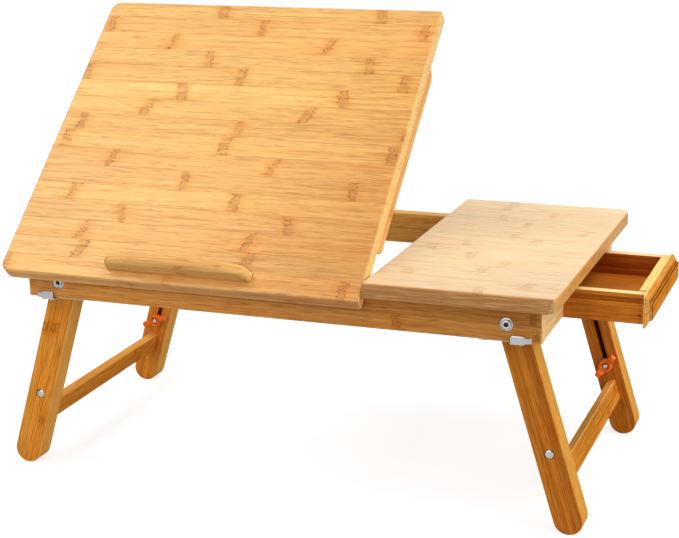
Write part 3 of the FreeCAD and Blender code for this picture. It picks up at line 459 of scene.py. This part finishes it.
# paler rail tones for the end blocks, whose wide faces look to the right: painted light
endBlockLitTones = {"pale": (0.90, 0.63, 0.28), "mid": (0.81, 0.49, 0.17), "streak": (0.50, 0.23, 0.05)}
boards = {  # the way of the grain, the way the wide face looks, and what differs from bambooSet
    # each drift below is painted shade, the light falling off across the board
    "tilt_top": (xWay, outTop, {**topGloss, "ringGap": 0.175, "ringDepth": 1.0,
                                "drift": (1.0, -0.55, 0.1, (0.73, 0.60, 0.42))}),
    # side top: its pale, greyish tones are partly painted sheen, and its dark edge tone is the painted shade
    # of its narrow edges
    "side_top": (xWay, zWay, {**topGloss, "ringGap": 0.175, "ringDepth": 0.55, "haloDepth": 0.2,
                              "cloud": 0.08, "toneSpread": 0.09, "pale": (0.90, 0.68, 0.38),
                              "mid": (0.85, 0.59, 0.30), "streak": (0.54, 0.28, 0.09),
                              "edge": (0.38, 0.145, 0.016), "edgeDepth": 0.95,
                              "endPale": (0.70, 0.35, 0.075), "endDark": (0.18, 0.052, 0.007),
                              "drift": (0.2, -1.0, 0.3, (0.78, 0.75, 0.80))}),
    "stop_ledge": (xWay, outTop, {"strip": 0.012, "ringGap": 0.19, "pale": (0.84, 0.50, 0.16), "seed": 5,
                                  "mid": (0.72, 0.37, 0.09), "fibre": 0.6, "specular": 0.3}),
    "front_rail": (xWay, yWay, {**railSet, "ringGap": 0.42,
                                "patches": ((246.0, 252.0, -11.2, -0.8), (250.0, 255.5, 7.8, 13.6)),
                                "drift": (1.0, 0.0, 0.6, (0.58, 0.53, 0.44))}),
    # the back rail's brighter tones are painted light, making up for the shade it stands in behind the
    # tilting top
    "back_rail": (xWay, yWay, {**railSet, "ringGap": 0.42, "pale": (0.98, 0.56, 0.14),
                               "mid": (0.92, 0.46, 0.09)}),
    "left_end_rail": (yWay, xWay, railSet),
    "end_block_front": (yWay, xWay, {**railSet, **endBlockLitTones}),
    "end_block_rear": (yWay, xWay, {**railSet, **endBlockLitTones}),
    "divider": (yWay, xWay, railSet),
    "drawer_guide_front": (xWay, yWay, {"strip": 0.014}),
    "drawer_guide_rear": (xWay, yWay, {"strip": 0.014}),
    "drawer_runners": (xWay, yWay, {"strip": 0.005}),
    "drawer_side_front": (xWay, yWay, {"strip": 0.0142, "ringGap": 0.5, **drawerTones}),
    "drawer_side_rear": (xWay, yWay, {"strip": 0.0142, **innerShadeTones}),
    "drawer_bottom": (xWay, zWay, {"strip": 0.018, **drawerTones, "edgeDepth": 0.0}),
    "drawer_back": (yWay, xWay, {"strip": 0.0104, **drawerTones}),
    # the panel entry paints a shadow line round the drawer front's raised panel
    "drawer_front": (yWay, xWay, {"strip": 0.0107, "ringGap": 0.4, **boardTones, "edge": (0.98, 0.68, 0.26),
                                  "panel": (-75.8, 75.8, -8.8, 8.2)}),
    "prop_slat": (xWay, yWay, {"strip": 0.010}),
    "batten_left": (upTop, xWay, {"strip": 0.0085}),
    "batten_right": (upTop, xWay, {"strip": 0.0085}),
    "prop_arm_left": (zWay, xWay, {"strip": 0.007}),
    "prop_arm_right": (zWay, xWay, {"strip": 0.007}),
}
for side in ("left", "right"):
    for end in ("front", "rear"):
        for kind in ("pivot", "sliding"):
            name = f"{side}_{kind}_slat_{end}"
            look = dict(legStrip)
            if kind == "pivot":
                # the pivot slat's face behind the foot's slot gets a painted shadow
                look["hollow"] = ((0.0, 1.0 if end == "front" else -1.0, 0.0), 2.75)
            tones = rightShadeTones if side == "right" else legTones
            boards[name] = (legWay[side], yWay, {**look, **tones})
    tones = boardTones if side == "right" else legTones
    boards[f"{side}_stretcher"] = (yWay, legOut[side], {"strip": 0.0112, "layer": 0.0045, **tones})
for count, (name, (grain, face, look)) in enumerate(boards.items()):
    wear(name, bamboo(name, grain, face, {"seed": count * 7, **look}))
print("bamboo laid on", len(boards), "pieces")

# ---- metals and the orange plastic


def steel(name, color, roughness):
    material, tree, shader = newMaterial(name)
    place = add(tree, "ShaderNodeTexCoord").outputs["Object"]
    haze = add(tree, "ShaderNodeTexNoise", {"Vector": place, "Scale": 220.0, "Detail": 4.0}).outputs["Fac"]
    tint = blendColor(tree, haze, color, tuple(c * 0.82 for c in color))
    tree.links.new(tint, shader.inputs["Base Color"])
    tree.links.new(calc(tree, "MULTIPLY_ADD", haze, 0.2, roughness - 0.1), shader.inputs["Roughness"])
    bump = add(tree, "ShaderNodeBump", {"Height": haze, "Strength": 0.1, "Distance": 0.0002})
    tree.links.new(bump.outputs[0], shader.inputs["Normal"])
    shader.inputs["Metallic"].default_value = 1.0
    return material


def nylon(name, color):
    material, tree, shader = newMaterial(name)
    place = add(tree, "ShaderNodeTexCoord").outputs["Object"]
    grainy = add(tree, "ShaderNodeTexNoise", {"Vector": place, "Scale": 900.0, "Detail": 3.0}).outputs["Fac"]
    cloudy = add(tree, "ShaderNodeTexNoise", {"Vector": place, "Scale": 60.0, "Detail": 2.0}).outputs["Fac"]
    tint = blendColor(tree, cloudy, color, tuple(c * 0.8 for c in color))
    tree.links.new(tint, shader.inputs["Base Color"])
    tree.links.new(calc(tree, "MULTIPLY_ADD", grainy, 0.2, 0.28), shader.inputs["Roughness"])
    bump = add(tree, "ShaderNodeBump", {"Height": grainy, "Strength": 0.15, "Distance": 0.0002})
    tree.links.new(bump.outputs[0], shader.inputs["Normal"])
    shader.inputs["Specular IOR Level"].default_value = 0.25
    return material


nickel = steel("nickel", (0.62, 0.61, 0.60), 0.20)
zinc = steel("zinc", (0.42, 0.42, 0.41), 0.38)
# near-black steel: the drawer's nail heads, and painted shade in the pivot bolts' sockets
darkSteelAndSocketShade = steel("dark_steel_and_socket_shade", (0.035, 0.030, 0.028), 0.5)
orange = nylon("orange_nylon", (1.0, 0.18, 0.004))
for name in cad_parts:
    if "wing_nut" in name:
        wear(name, orange)
    elif name in ("left_catch", "right_catch", "leg_pivot_bolts", "left_clamp_bolts", "right_clamp_bolts"):
        wear(name, nickel)
    elif name not in boards:
        wear(name, zinc)
print("metal and plastic done")

# ---- smooth pieces: each surface is a grid of points in millimetres, worked out as whole arrays


def smooth(value, start, end):
    # 0 before start, 1 after end, an S curve between
    t = np.clip((value - start) / (end - start), 0.0, 1.0)
    return t * t * (3.0 - 2.0 * t)


def power(value, exponent):
    return np.sign(value) * np.abs(value) ** exponent


def turned(profile, sides=48):
    # radius and height pairs carried round the z axis
    around = np.arange(sides) * 2.0 * np.pi / sides
    radius, height = profile[:, :1], profile[:, 1:]
    return np.stack((radius * np.cos(around), radius * np.sin(around), height + 0.0 * around), -1)


def drum(radius, height, exponent, rows=28, sides=48):
    # half a superellipse of the given exponent turned about z: a cylinder with softly rounded rims
    t = np.linspace(-np.pi / 2.0, np.pi / 2.0, rows)
    profile = np.stack((radius * np.abs(np.cos(t)) ** (2.0 / exponent),
                        height / 2.0 * (1.0 + power(np.sin(t), 2.0 / exponent))), -1)
    profile[[0, -1], 0] = 0.0
    return turned(profile, sides)


def bar(start, end, low, high, back, front, exponent=6.0, tip=8.0, rows=48, sides=32):
    # a bar along x: its section is a superellipse between low and high in z and back and front in y, each
    # a function of x, and it closes at both ends as the tip-th root of 1 - |u| to the tip, u from -1 to 1
    u = -np.cos(np.linspace(0.0, np.pi, rows))
    x = ((start + end) / 2.0 + u * (end - start) / 2.0)[:, None]
    closing = (np.maximum(1.0 - np.abs(u) ** tip, 0.0) ** (1.0 / tip))[:, None]
    around = np.arange(sides) * 2.0 * np.pi / sides
    zMiddle, zHalf = (low(x) + high(x)) / 2.0, (high(x) - low(x)) / 2.0
    yMiddle, yHalf = (back(x) + front(x)) / 2.0, (front(x) - back(x)) / 2.0
    y = yMiddle + yHalf * closing * power(np.cos(around), 2.0 / exponent)
    z = zMiddle + zHalf * closing * power(np.sin(around), 2.0 / exponent)
    return np.stack((x + 0.0 * y, y, z), -1)


def between(first, last, start, end):
    # a bound for a bar: a value that goes smoothly from first to last as x goes from start to end
    return lambda x: first + (last - first) * smooth(x, start, end)


def level(value):
    # a bound for a bar that is the same all along
    return lambda x: value + 0.0 * x


def threaded(radius, depth, pitch, start, end, sides=48):
    # a rod along z whose radius falls by a triangle wave of height and turn, and that closes at its ends
    rows = int((end - start) / pitch * 10)
    z = np.concatenate(([start, start], np.linspace(start, end - 0.5, rows), [end, end]))[:, None]
    around = np.arange(sides) / sides
    angle = 2.0 * np.pi * around
    wave = np.abs(((z / pitch - around) % 1.0) * 2.0 - 1.0)
    r = radius - depth * wave
    ends = np.ones(len(z))
    ends[[0, -1]] = 0.0
    ends[-2] = 0.8
    r = r * ends[:, None]
    return np.stack((r * np.cos(angle), r * np.sin(angle), z + 0.0 * around), -1)


def carried(grid, origin, xAxis, yAxis, zAxis):
    # from a piece's own millimetres to its place in the frame
    return grid @ np.array([xAxis, yAxis, zAxis], float) / 1000.0 + np.array(origin, float)


def newPiece(name, grids, material, body, nodes=(), crease=38.0):
    # quads between neighbouring points of each grid, its columns closed into a ring and its poles merged
    points, quads, count = [], [], 0
    for grid in grids:
        rows, columns = grid.shape[:2]
        row, column = np.meshgrid(np.arange(rows - 1), np.arange(columns), indexing="ij")
        onward = (column + 1) % columns
        corners = (row * columns + column, row * columns + onward, (row + 1) * columns + onward,
                   (row + 1) * columns + column)
        quads.append(np.stack(corners, -1).reshape(-1, 4) + count)
        points.append(grid.reshape(-1, 3))
        count += rows * columns
    mesh = bpy.data.meshes.new(name)
    mesh.from_pydata(np.concatenate(points).tolist(), [], np.concatenate(quads).tolist())
    work = bmesh.new()
    work.from_mesh(mesh)
    bmesh.ops.remove_doubles(work, verts=work.verts, dist=1e-7)
    bmesh.ops.recalc_face_normals(work, faces=work.faces)
    work.to_mesh(mesh)
    work.free()
    mesh.shade_smooth()
    mesh.set_sharp_from_angle(angle=math.radians(crease))
    mesh.materials.append(material)
    piece = bpy.data.objects.new(name, mesh)
    bpy.context.scene.collection.objects.link(piece)
    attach(piece, body)
    if nodes:
        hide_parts(*nodes)


# ---- stop ledge: one blunt end, one long end, the top bowed and well rounded
ledgeSet = {"endHeight": 14.0, "leftRound": 7.0, "rightRound": 13.0, "edgeRound": 5.0, "footRound": 0.8,
            "footReach": 5.5, "footCorner": 2.6, "spine": 5.5}


def ledgeOutline(length, crown):
    # counter-clockwise: along the foot, up the right end, back along the bow with its rounded ends, down
    end, left, right = ledgeSet["endHeight"], ledgeSet["leftRound"], ledgeSet["rightRound"]
    u = length / 2.0 * np.cos(np.linspace(0.0, np.pi, 90))
    bow = end + (crown - end) * (1.0 - (2.0 * u / length) ** 2)
    short = np.maximum(left - (u + length / 2.0), 0.0)
    long = np.maximum(right - (length / 2.0 - u), 0.0)
    drop = left - np.sqrt(left ** 2 - short ** 2) + right - np.sqrt(right ** 2 - long ** 2)
    top = np.stack((u, bow - drop), -1)
    corner = ledgeSet["footCorner"]
    turn = np.linspace(0.0, np.pi / 2.0, 7)
    foot = np.linspace(-length / 2.0 + corner + 1.0, length / 2.0 - corner - 1.0, 70)
    bends = np.stack((length / 2.0 - corner + corner * np.sin(turn), corner - corner * np.cos(turn)), -1)
    fall = np.linspace(top[-1, 1] - 0.5, corner + 0.5, 5)
    return np.concatenate((np.stack((foot, 0.0 * foot), -1), bends[:-1], top,
                           np.stack((0.0 * fall - length / 2.0, fall), -1), (bends * (-1.0, 1.0))[::-1]))


def ledgeSkin(length, thickness, crown):
    # the outline moved in by r (1 - sin a) while the depth moves in by r (1 - cos a), front face to back face
    outline = ledgeOutline(length, crown)
    tangent = np.roll(outline, -1, 0) - np.roll(outline, 1, 0)
    tangent /= np.linalg.norm(tangent, axis=1, keepdims=True)
    inward = np.stack((-tangent[:, 1], tangent[:, 0]), -1)
    inward = (inward + np.roll(inward, 1, 0) + np.roll(inward, -1, 0)) / 3.0
    foot, edge = ledgeSet["footRound"], ledgeSet["edgeRound"]
    toEnd = length / 2.0 - np.abs(outline[:, 0])
    r = foot + (edge - foot) * np.maximum(smooth(outline[:, 1], 0.5, ledgeSet["footReach"]),
                                          0.6 * smooth(-toEnd, -6.0, 0.0))
    a = np.linspace(0.0, np.pi / 2.0, 9)[:, None]
    moved = outline + inward * (r * (1.0 - np.sin(a)))[..., None]
    depth = thickness / 2.0 - r * (1.0 - np.cos(a))
    front = np.concatenate((moved, -depth[..., None]), -1)[..., [0, 2, 1]]
    back = np.concatenate((moved, depth[..., None]), -1)[::-1][..., [0, 2, 1]]
    reach = length / 2.0 - 9.0
    spine = np.stack((np.clip(outline[:, 0], -reach, reach - 4.0), 0.0 * r, 0.0 * r + ledgeSet["spine"]), -1)
    ends = [spine + np.array((0.0, way * thickness / 2.0, 0.0)) for way in (-1.0, 1.0)]
    return np.concatenate((ends[0][None], front, back, ends[1][None]))


turn, centre, half = localFrame("stop_ledge", xWay, outTop)
seat = np.array(centre) - np.array(outTop) * half[2]
skin = ledgeSkin(*(2000.0 * half[[0, 1, 2]]))
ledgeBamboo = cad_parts["stop_ledge"].data.materials[0]
newPiece("ledge_body", [carried(skin, seat, xWay, upTop, outTop)], ledgeBamboo, "tilting_top",
         ["stop_ledge"])

# ---- wing nuts: a drum-shaped hub with two lobed wings
wingSet = {"hubRadius": 7.0, "hubHeight": 8.0, "root": 3.2, "reach": 14.3, "waist": 9.0, "foot": 0.8,
           "tipFoot": 3.0, "height": 10.5, "rootThick": 9.5, "tipThick": 6.0, "bore": 2.6, "mouth": 4.4}


def wingNut():
    # the hub's outline: a flat seat, rounded sides, and a dished mouth that leads down to the bore
    radius, height, bore, mouth = (wingSet[key] for key in ("hubRadius", "hubHeight", "bore", "mouth"))
    t = np.linspace(-np.pi / 2.0, np.pi / 2.0, 24)
    side = np.stack((radius - 1.6 + 1.6 * np.cos(t) ** 0.6, height / 2.0 * (1.0 + power(np.sin(t), 0.3))), -1)
    dish = [(mouth, height - 0.1), (mouth - 0.4, height - 0.5), (bore + 0.3, height - 2.6),
            (bore, height - 3.0), (bore, 0.0)]
    hub = turned(np.concatenate(([(bore, 0.0)], side, dish)))
    root, waist, reach = wingSet["root"], wingSet["waist"], wingSet["reach"]
    low = between(wingSet["foot"], wingSet["tipFoot"], waist - 2.0, reach)
    high = between(height - 0.6, wingSet["height"], 5.0, waist + 1.0)
    near = between(-wingSet["rootThick"] / 2.0, -wingSet["tipThick"] / 2.0, root, reach - 2.0)
    far = between(wingSet["rootThick"] / 2.0, wingSet["tipThick"] / 2.0, root, reach - 2.0)
    wing = bar(root, reach, low, high, near, far, 3.6, 9.0)
    return [hub, wing, wing * np.array((-1.0, -1.0, 1.0))]


def longWay(name):
    # the direction in which a node's points spread most, in the plane across y
    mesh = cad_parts[name].data
    points = np.empty(len(mesh.vertices) * 3)
    mesh.vertices.foreach_get("co", points)
    flat = points.reshape(-1, 3)[:, [0, 2]]
    spread = np.linalg.eigh(np.cov((flat - flat.mean(0)).T))[1][:, -1]
    return np.array((spread[0], 0.0, spread[1]))


for side in ("left", "right"):
    for end, way in (("front", 1.0), ("rear", -1.0)):
        name = f"{side}_wing_nut_{end}"
        low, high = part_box(name)
        base = ((low.x + high.x) / 2.0, low.y if way > 0 else high.y, (low.z + high.z) / 2.0)
        out = np.array((0.0, way, 0.0))
        wide = longWay(name)
        grids = [carried(grid, base, wide, np.cross(out, wide), out) for grid in wingNut()]
        newPiece(name + "_body", grids, orange, name, [name])
print("ledge and wing nuts made")

# ---- clamp bolts: low domed head, square neck, threaded shank that comes out through the wing nut
clampSet = {"headRadius": 4.5, "headHeight": 1.5, "headCurve": 2.6, "neck": 2.5, "neckLength": 9.5,
            "radius": 2.5, "thread": 0.28, "pitch": 0.8, "length": 31.2}


def clampBolt():
    # z runs out of the head, from 0 at its underside; the dome is a superellipse of exponent headCurve
    t = np.linspace(np.pi / 2.0, 0.0, 18)
    radius, height, neck = clampSet["headRadius"], clampSet["headHeight"], clampSet["neck"]
    bulge = 2.0 / clampSet["headCurve"]
    dome = np.stack((radius * np.cos(t) ** bulge, height * np.sin(t) ** bulge), -1)
    dome[0, 0] = 0.0
    head = turned(np.concatenate((dome, [[radius - 0.3, -0.05], [0.0, -0.05]])))
    sides = level(-neck), level(neck), level(-neck), level(neck)
    square = bar(-clampSet["neckLength"], 0.0, *sides, 14.0, 60.0, 12)[..., [1, 2, 0]]
    shank = threaded(clampSet["radius"], clampSet["thread"], clampSet["pitch"], 0.0,
                     clampSet["length"] - height) * np.array((1.0, 1.0, -1.0))
    return [head, square, shank]


for side in ("left", "right"):
    name = f"{side}_clamp_bolts"
    low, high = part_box(name)
    grids = []
    for y, way in ((low.y, -1.0), (high.y, 1.0)):
        base = ((low.x + high.x) / 2.0, y - way * clampSet["headHeight"] / 1000.0, (low.z + high.z) / 2.0)
        out = np.array((0.0, way, 0.0))
        leg = np.array(legWay[side])
        grids += [carried(grid, base, leg, np.cross(out, leg), out) for grid in clampBolt()]
    newPiece(f"{side}_clamp_bolts_body", grids, nickel, f"{side}_leg", [name])

# ---- leg pivot bolts: a flange let into the rail, a groove, and a boss with a hex socket
pivotSet = {"headHeight": 2.2, "headRadius": 6.2, "length": 33.4, "radius": 3.0, "thread": 0.3, "pitch": 0.9,
            "plain": 17.0}


def hexagon(rings):
    # rows of radius r, height and how six-sided it is, h: r (1 + h (1 / cos(a) - 1)), a from a side's middle
    around = np.arange(72) * 2.0 * np.pi / 72
    corner = 1.0 / np.cos((around % (np.pi / 3.0)) - np.pi / 6.0)
    r = rings[:, :1] * (1.0 + rings[:, 2:] * (corner - 1.0))
    return np.stack((r * np.cos(around), r * np.sin(around), rings[:, 1:2] + 0.0 * r), -1)


def pivotBolt():
    # from the socket's floor up its sides, over boss, groove and flange, and in to the plain shank
    radius, plain = pivotSet["radius"], pivotSet["plain"]
    rings = [(0.0, -0.6, 1), (1.6, -0.5, 1), (2.1, -0.3, 1), (2.1, 0.0, 1), (2.1, 1.9, 1), (2.25, 2.12, 0.7),
             (2.6, 2.2, 0), (3.5, 2.2, 0), (4.0, 2.08, 0), (4.3, 1.8, 0), (4.4, 1.4, 0), (4.42, 0.3, 0),
             (4.95, 0.3, 0), (5.02, 0.85, 0), (5.2, 1.0, 0), (5.8, 1.0, 0), (6.08, 0.88, 0), (6.2, 0.6, 0),
             (6.2, 0.0, 0), (radius, 0.0, 0), (radius, -plain, 0), (0.0, -plain, 0)]
    tail = threaded(radius, pivotSet["thread"], pivotSet["pitch"], plain,
                    pivotSet["length"] - pivotSet["headHeight"]) * np.array((1.0, 1.0, -1.0))
    return [hexagon(np.array(rings)), tail]


def socketShadePlug():
    # a low six-sided plug that fills the socket up to a little under its rim; near-black, it is painted shade
    # that makes the socket read deep
    return hexagon(np.array([(0.0, -0.2, 1), (2.06, -0.2, 1), (2.06, 1.1, 1), (1.5, 1.0, 1), (0.0, 0.9, 1)]))


low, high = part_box("leg_pivot_bolts")
grids, shadePlugs = [], []
for x in (low.x + pivotSet["headRadius"] / 1000.0, high.x - pivotSet["headRadius"] / 1000.0):
    for y, way in ((low.y, -1.0), (high.y, 1.0)):
        base = (x, y - way * pivotSet["headHeight"] / 1000.0, (low.z + high.z) / 2.0)
        out = np.array((0.0, way, 0.0))
        grids += [carried(grid, base, xWay, np.cross(out, xWay), out) for grid in pivotBolt()]
        shadePlugs.append(carried(socketShadePlug(), base, xWay, np.cross(out, xWay), out))
newPiece("leg_pivot_bolts_body", grids[::2] + grids[1::2], nickel, "frame",
         ["leg_pivot_bolts"])
# the near-black plugs are painted shade deep in the sockets
newPiece("pivot_socket_shade", shadePlugs, darkSteelAndSocketShade, "frame")

# ---- catches: a spring strip under the rail, an apron, and a tab bent up and back to the rail
catchSet = {"start": 8.5, "bend": 15.5, "end": 27.5, "slope": 0.36, "reach": -3.1, "corner": 2.4,
            "height": 8.0, "stripLow": 3.0, "stripHigh": 12.0, "stripEnd": 59.0, "thickness": 1.0,
            "front": -3.6}


def roundedEnd(x, start, end, radius):
    # how much a plate's edge drops towards its two ends, as a quarter circle of the radius
    near = np.maximum(radius - np.minimum(x - start, end - x), 0.0)
    return radius - np.sqrt(np.maximum(radius ** 2 - near ** 2, 0.0))


def legCatch():
    # x from the frame's end, y from the rail's face, z from the underside of the strip
    start, bend, end, last = (catchSet[key] for key in ("start", "bend", "end", "stripEnd"))
    corner, thickness = catchSet["corner"], catchSet["thickness"]

    def ear(x):
        # 1 on the tab's part before the bend, which stands back and is a little lower
        return smooth(-x, -bend, -bend + 2.0)

    def tabMiddle(x):
        return catchSet["reach"] + catchSet["slope"] * 0.5 * ((bend - x) + np.sqrt((bend - x) ** 2 + 1.5))

    def tabTop(x):
        return catchSet["height"] - roundedEnd(x, start, end, corner) - 1.3 * ear(x)

    def apronFront(x):
        return catchSet["front"] + np.maximum(x - end, 0.0) * 2.5

    def stripInset(x):
        return roundedEnd(x, bend, last, corner)

    tab = bar(start, end, lambda x: 0.2 + 0.9 * ear(x), tabTop, lambda x: tabMiddle(x) - thickness / 2.0,
              lambda x: tabMiddle(x) + thickness / 2.0, 5.0, 30.0, 64)
    apron = bar(bend, end + 3.5, level(0.0), level(thickness), apronFront, level(5.4), 8.0, 40.0, 56)
    strip = bar(bend, last, level(0.0), level(thickness), lambda x: catchSet["stripLow"] + stripInset(x),
                lambda x: catchSet["stripHigh"] - stripInset(x), 8.0, 60.0, 64)
    return [tab, apron, strip]


for side, way in (("left", 1.0), ("right", -1.0)):
    name = f"{side}_catch"
    low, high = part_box(name)
    near = low.x if way > 0 else high.x
    base = (near - way * catchSet["start"] / 1000.0, low.y - catchSet["front"] / 1000.0, low.z)
    grids = [carried(grid, base, (way, 0.0, 0.0), yWay, zWay) for grid in legCatch()]
    newPiece(name + "_body", grids, nickel, name, [name])

# ---- nails through the drawer's sides into its front board
nailSet = {"radius": 1.0, "height": 0.25, "sunk": 0.1, "fromFront": 4.0, "fromFoot": 8.2}
sideLow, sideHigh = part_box("drawer_side_front")[0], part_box("drawer_side_rear")[1]
grids = []
for y, way in ((sideLow.y, -1.0), (sideHigh.y, 1.0)):
    x, z = sideHigh.x - nailSet["fromFront"] / 1000.0, sideLow.z + nailSet["fromFoot"] / 1000.0
    base = (x, y - way * nailSet["sunk"] / 1000.0, z)
    out = np.array((0.0, way, 0.0))
    head = drum(nailSet["radius"], nailSet["height"], 3.0, 10, 24)
    grids.append(carried(head, base, xWay, np.cross(out, xWay), out))
newPiece("drawer_nails", grids, darkSteelAndSocketShade, "drawer")
print("bolts, catches and nails made")

# ---- floor, white surroundings and soft studio lamps
studioSet = {
    "floorSize": 30.0,
    "worldLevel": 0.26,
    "backLevel": 0.9,  # added towards the pale wall behind the stand
    "floorColor": (0.38, 0.38, 0.38, 1.0),
    "floorGlow": 0.74,  # seen by the camera only, brings the lit floor up to white
    "floorShine": 0.5,  # the part of that glow which polished metal mirrors
    "lamps": {  # place, aim, size, watts
        "key": ((-1.22, -0.50, 1.94), (-0.20, -0.10, 0.22), 0.9, 13.0),
        "front": ((-0.50, -1.60, 1.90), (0.0, -0.05, 0.20), 1.2, 11.0),
        "fill": ((-0.50, -2.25, 0.45), (0.0, 0.0, 0.12), 1.8, 14.0),
        "overhead": ((0.85, 0.25, 2.1), (0.15, 0.0, 0.2), 1.2, 17.0),
        "right": ((1.95, -0.60, 0.70), (0.05, 0.0, 0.12), 2.6, 33.0),
    },
}


def addFloor():
    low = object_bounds()[0]
    half = studioSet["floorSize"] / 2
    mesh = bpy.data.meshes.new("floor")
    corners = [(-half, -half, low[2]), (half, -half, low[2]), (half, half, low[2]), (-half, half, low[2])]
    mesh.from_pydata(corners, [], [(0, 1, 2, 3)])
    floor = bpy.data.objects.new("floor", mesh)
    bpy.context.scene.collection.objects.link(floor)
    material, tree, shader = newMaterial("floor_paper")
    shader.inputs["Base Color"].default_value = studioSet["floorColor"]
    shader.inputs["Roughness"].default_value = 0.9
    path = add(tree, "ShaderNodeLightPath")
    mirrored = calc(tree, "MULTIPLY", path.outputs["Is Glossy Ray"], studioSet["floorShine"])
    seen = calc(tree, "MAXIMUM", path.outputs["Is Camera Ray"], mirrored)
    near = calc(tree, "MULTIPLY", seen, studioSet["floorGlow"])
    glow = add(tree, "ShaderNodeEmission", {"Color": (1.0, 1.0, 1.0, 1.0), "Strength": near})
    both = add(tree, "ShaderNodeAddShader", {0: shader.outputs[0], 1: glow.outputs[0]})
    white = add(tree, "ShaderNodeEmission", {"Color": (1.0, 1.0, 1.0, 1.0), "Strength": seen})
    place = add(tree, "ShaderNodeTexCoord").outputs["Object"]
    reach = add(tree, "ShaderNodeVectorMath", {0: place}, operation="LENGTH").outputs["Value"]
    far = fade(tree, reach, 0.7, 1.6)
    pick = add(tree, "ShaderNodeMixShader", {0: far, 1: both.outputs[0], 2: white.outputs[0]})
    tree.links.new(pick.outputs[0], tree.nodes["Material Output"].inputs["Surface"])
    mesh.materials.append(material)


def addWorld():
    world = bpy.data.worlds.new("studio")
    bpy.context.scene.world = world
    world.use_nodes = True
    tree = world.node_tree
    base = tree.nodes["Background"]
    base.inputs["Color"].default_value = (1.0, 0.99, 0.97, 1.0)
    toward = add(tree, "ShaderNodeTexCoord").outputs["Object"]
    way = add(tree, "ShaderNodeSeparateXYZ", {0: toward}).outputs["Y"]
    level = studioSet["worldLevel"]
    tree.links.new(fade(tree, way, 0.2, 1.0, level, level + studioSet["backLevel"]), base.inputs["Strength"])
    white = add(tree, "ShaderNodeBackground", {"Color": (1.0, 1.0, 1.0, 1.0), "Strength": 1.0})
    path = add(tree, "ShaderNodeLightPath")
    inputs = {0: path.outputs["Is Camera Ray"], 1: base.outputs[0], 2: white.outputs[0]}
    pick = add(tree, "ShaderNodeMixShader", inputs)
    tree.links.new(pick.outputs[0], tree.nodes["World Output"].inputs["Surface"])


def addLamp(name, place, aim, size, watts):
    data = bpy.data.lights.new(name, "AREA")
    data.shape = "DISK"
    data.size = size
    data.energy = watts
    lamp = bpy.data.objects.new(name, data)
    bpy.context.scene.collection.objects.link(lamp)
    lamp.location = place
    lamp.rotation_euler = (Vector(aim) - Vector(place)).to_track_quat("-Z", "Y").to_euler()


addFloor()
addWorld()
for name, (place, aim, size, watts) in studioSet["lamps"].items():
    addLamp(name, place, aim, size, watts)
bpy.context.scene.view_settings.view_transform = "Standard"
print("studio lit")
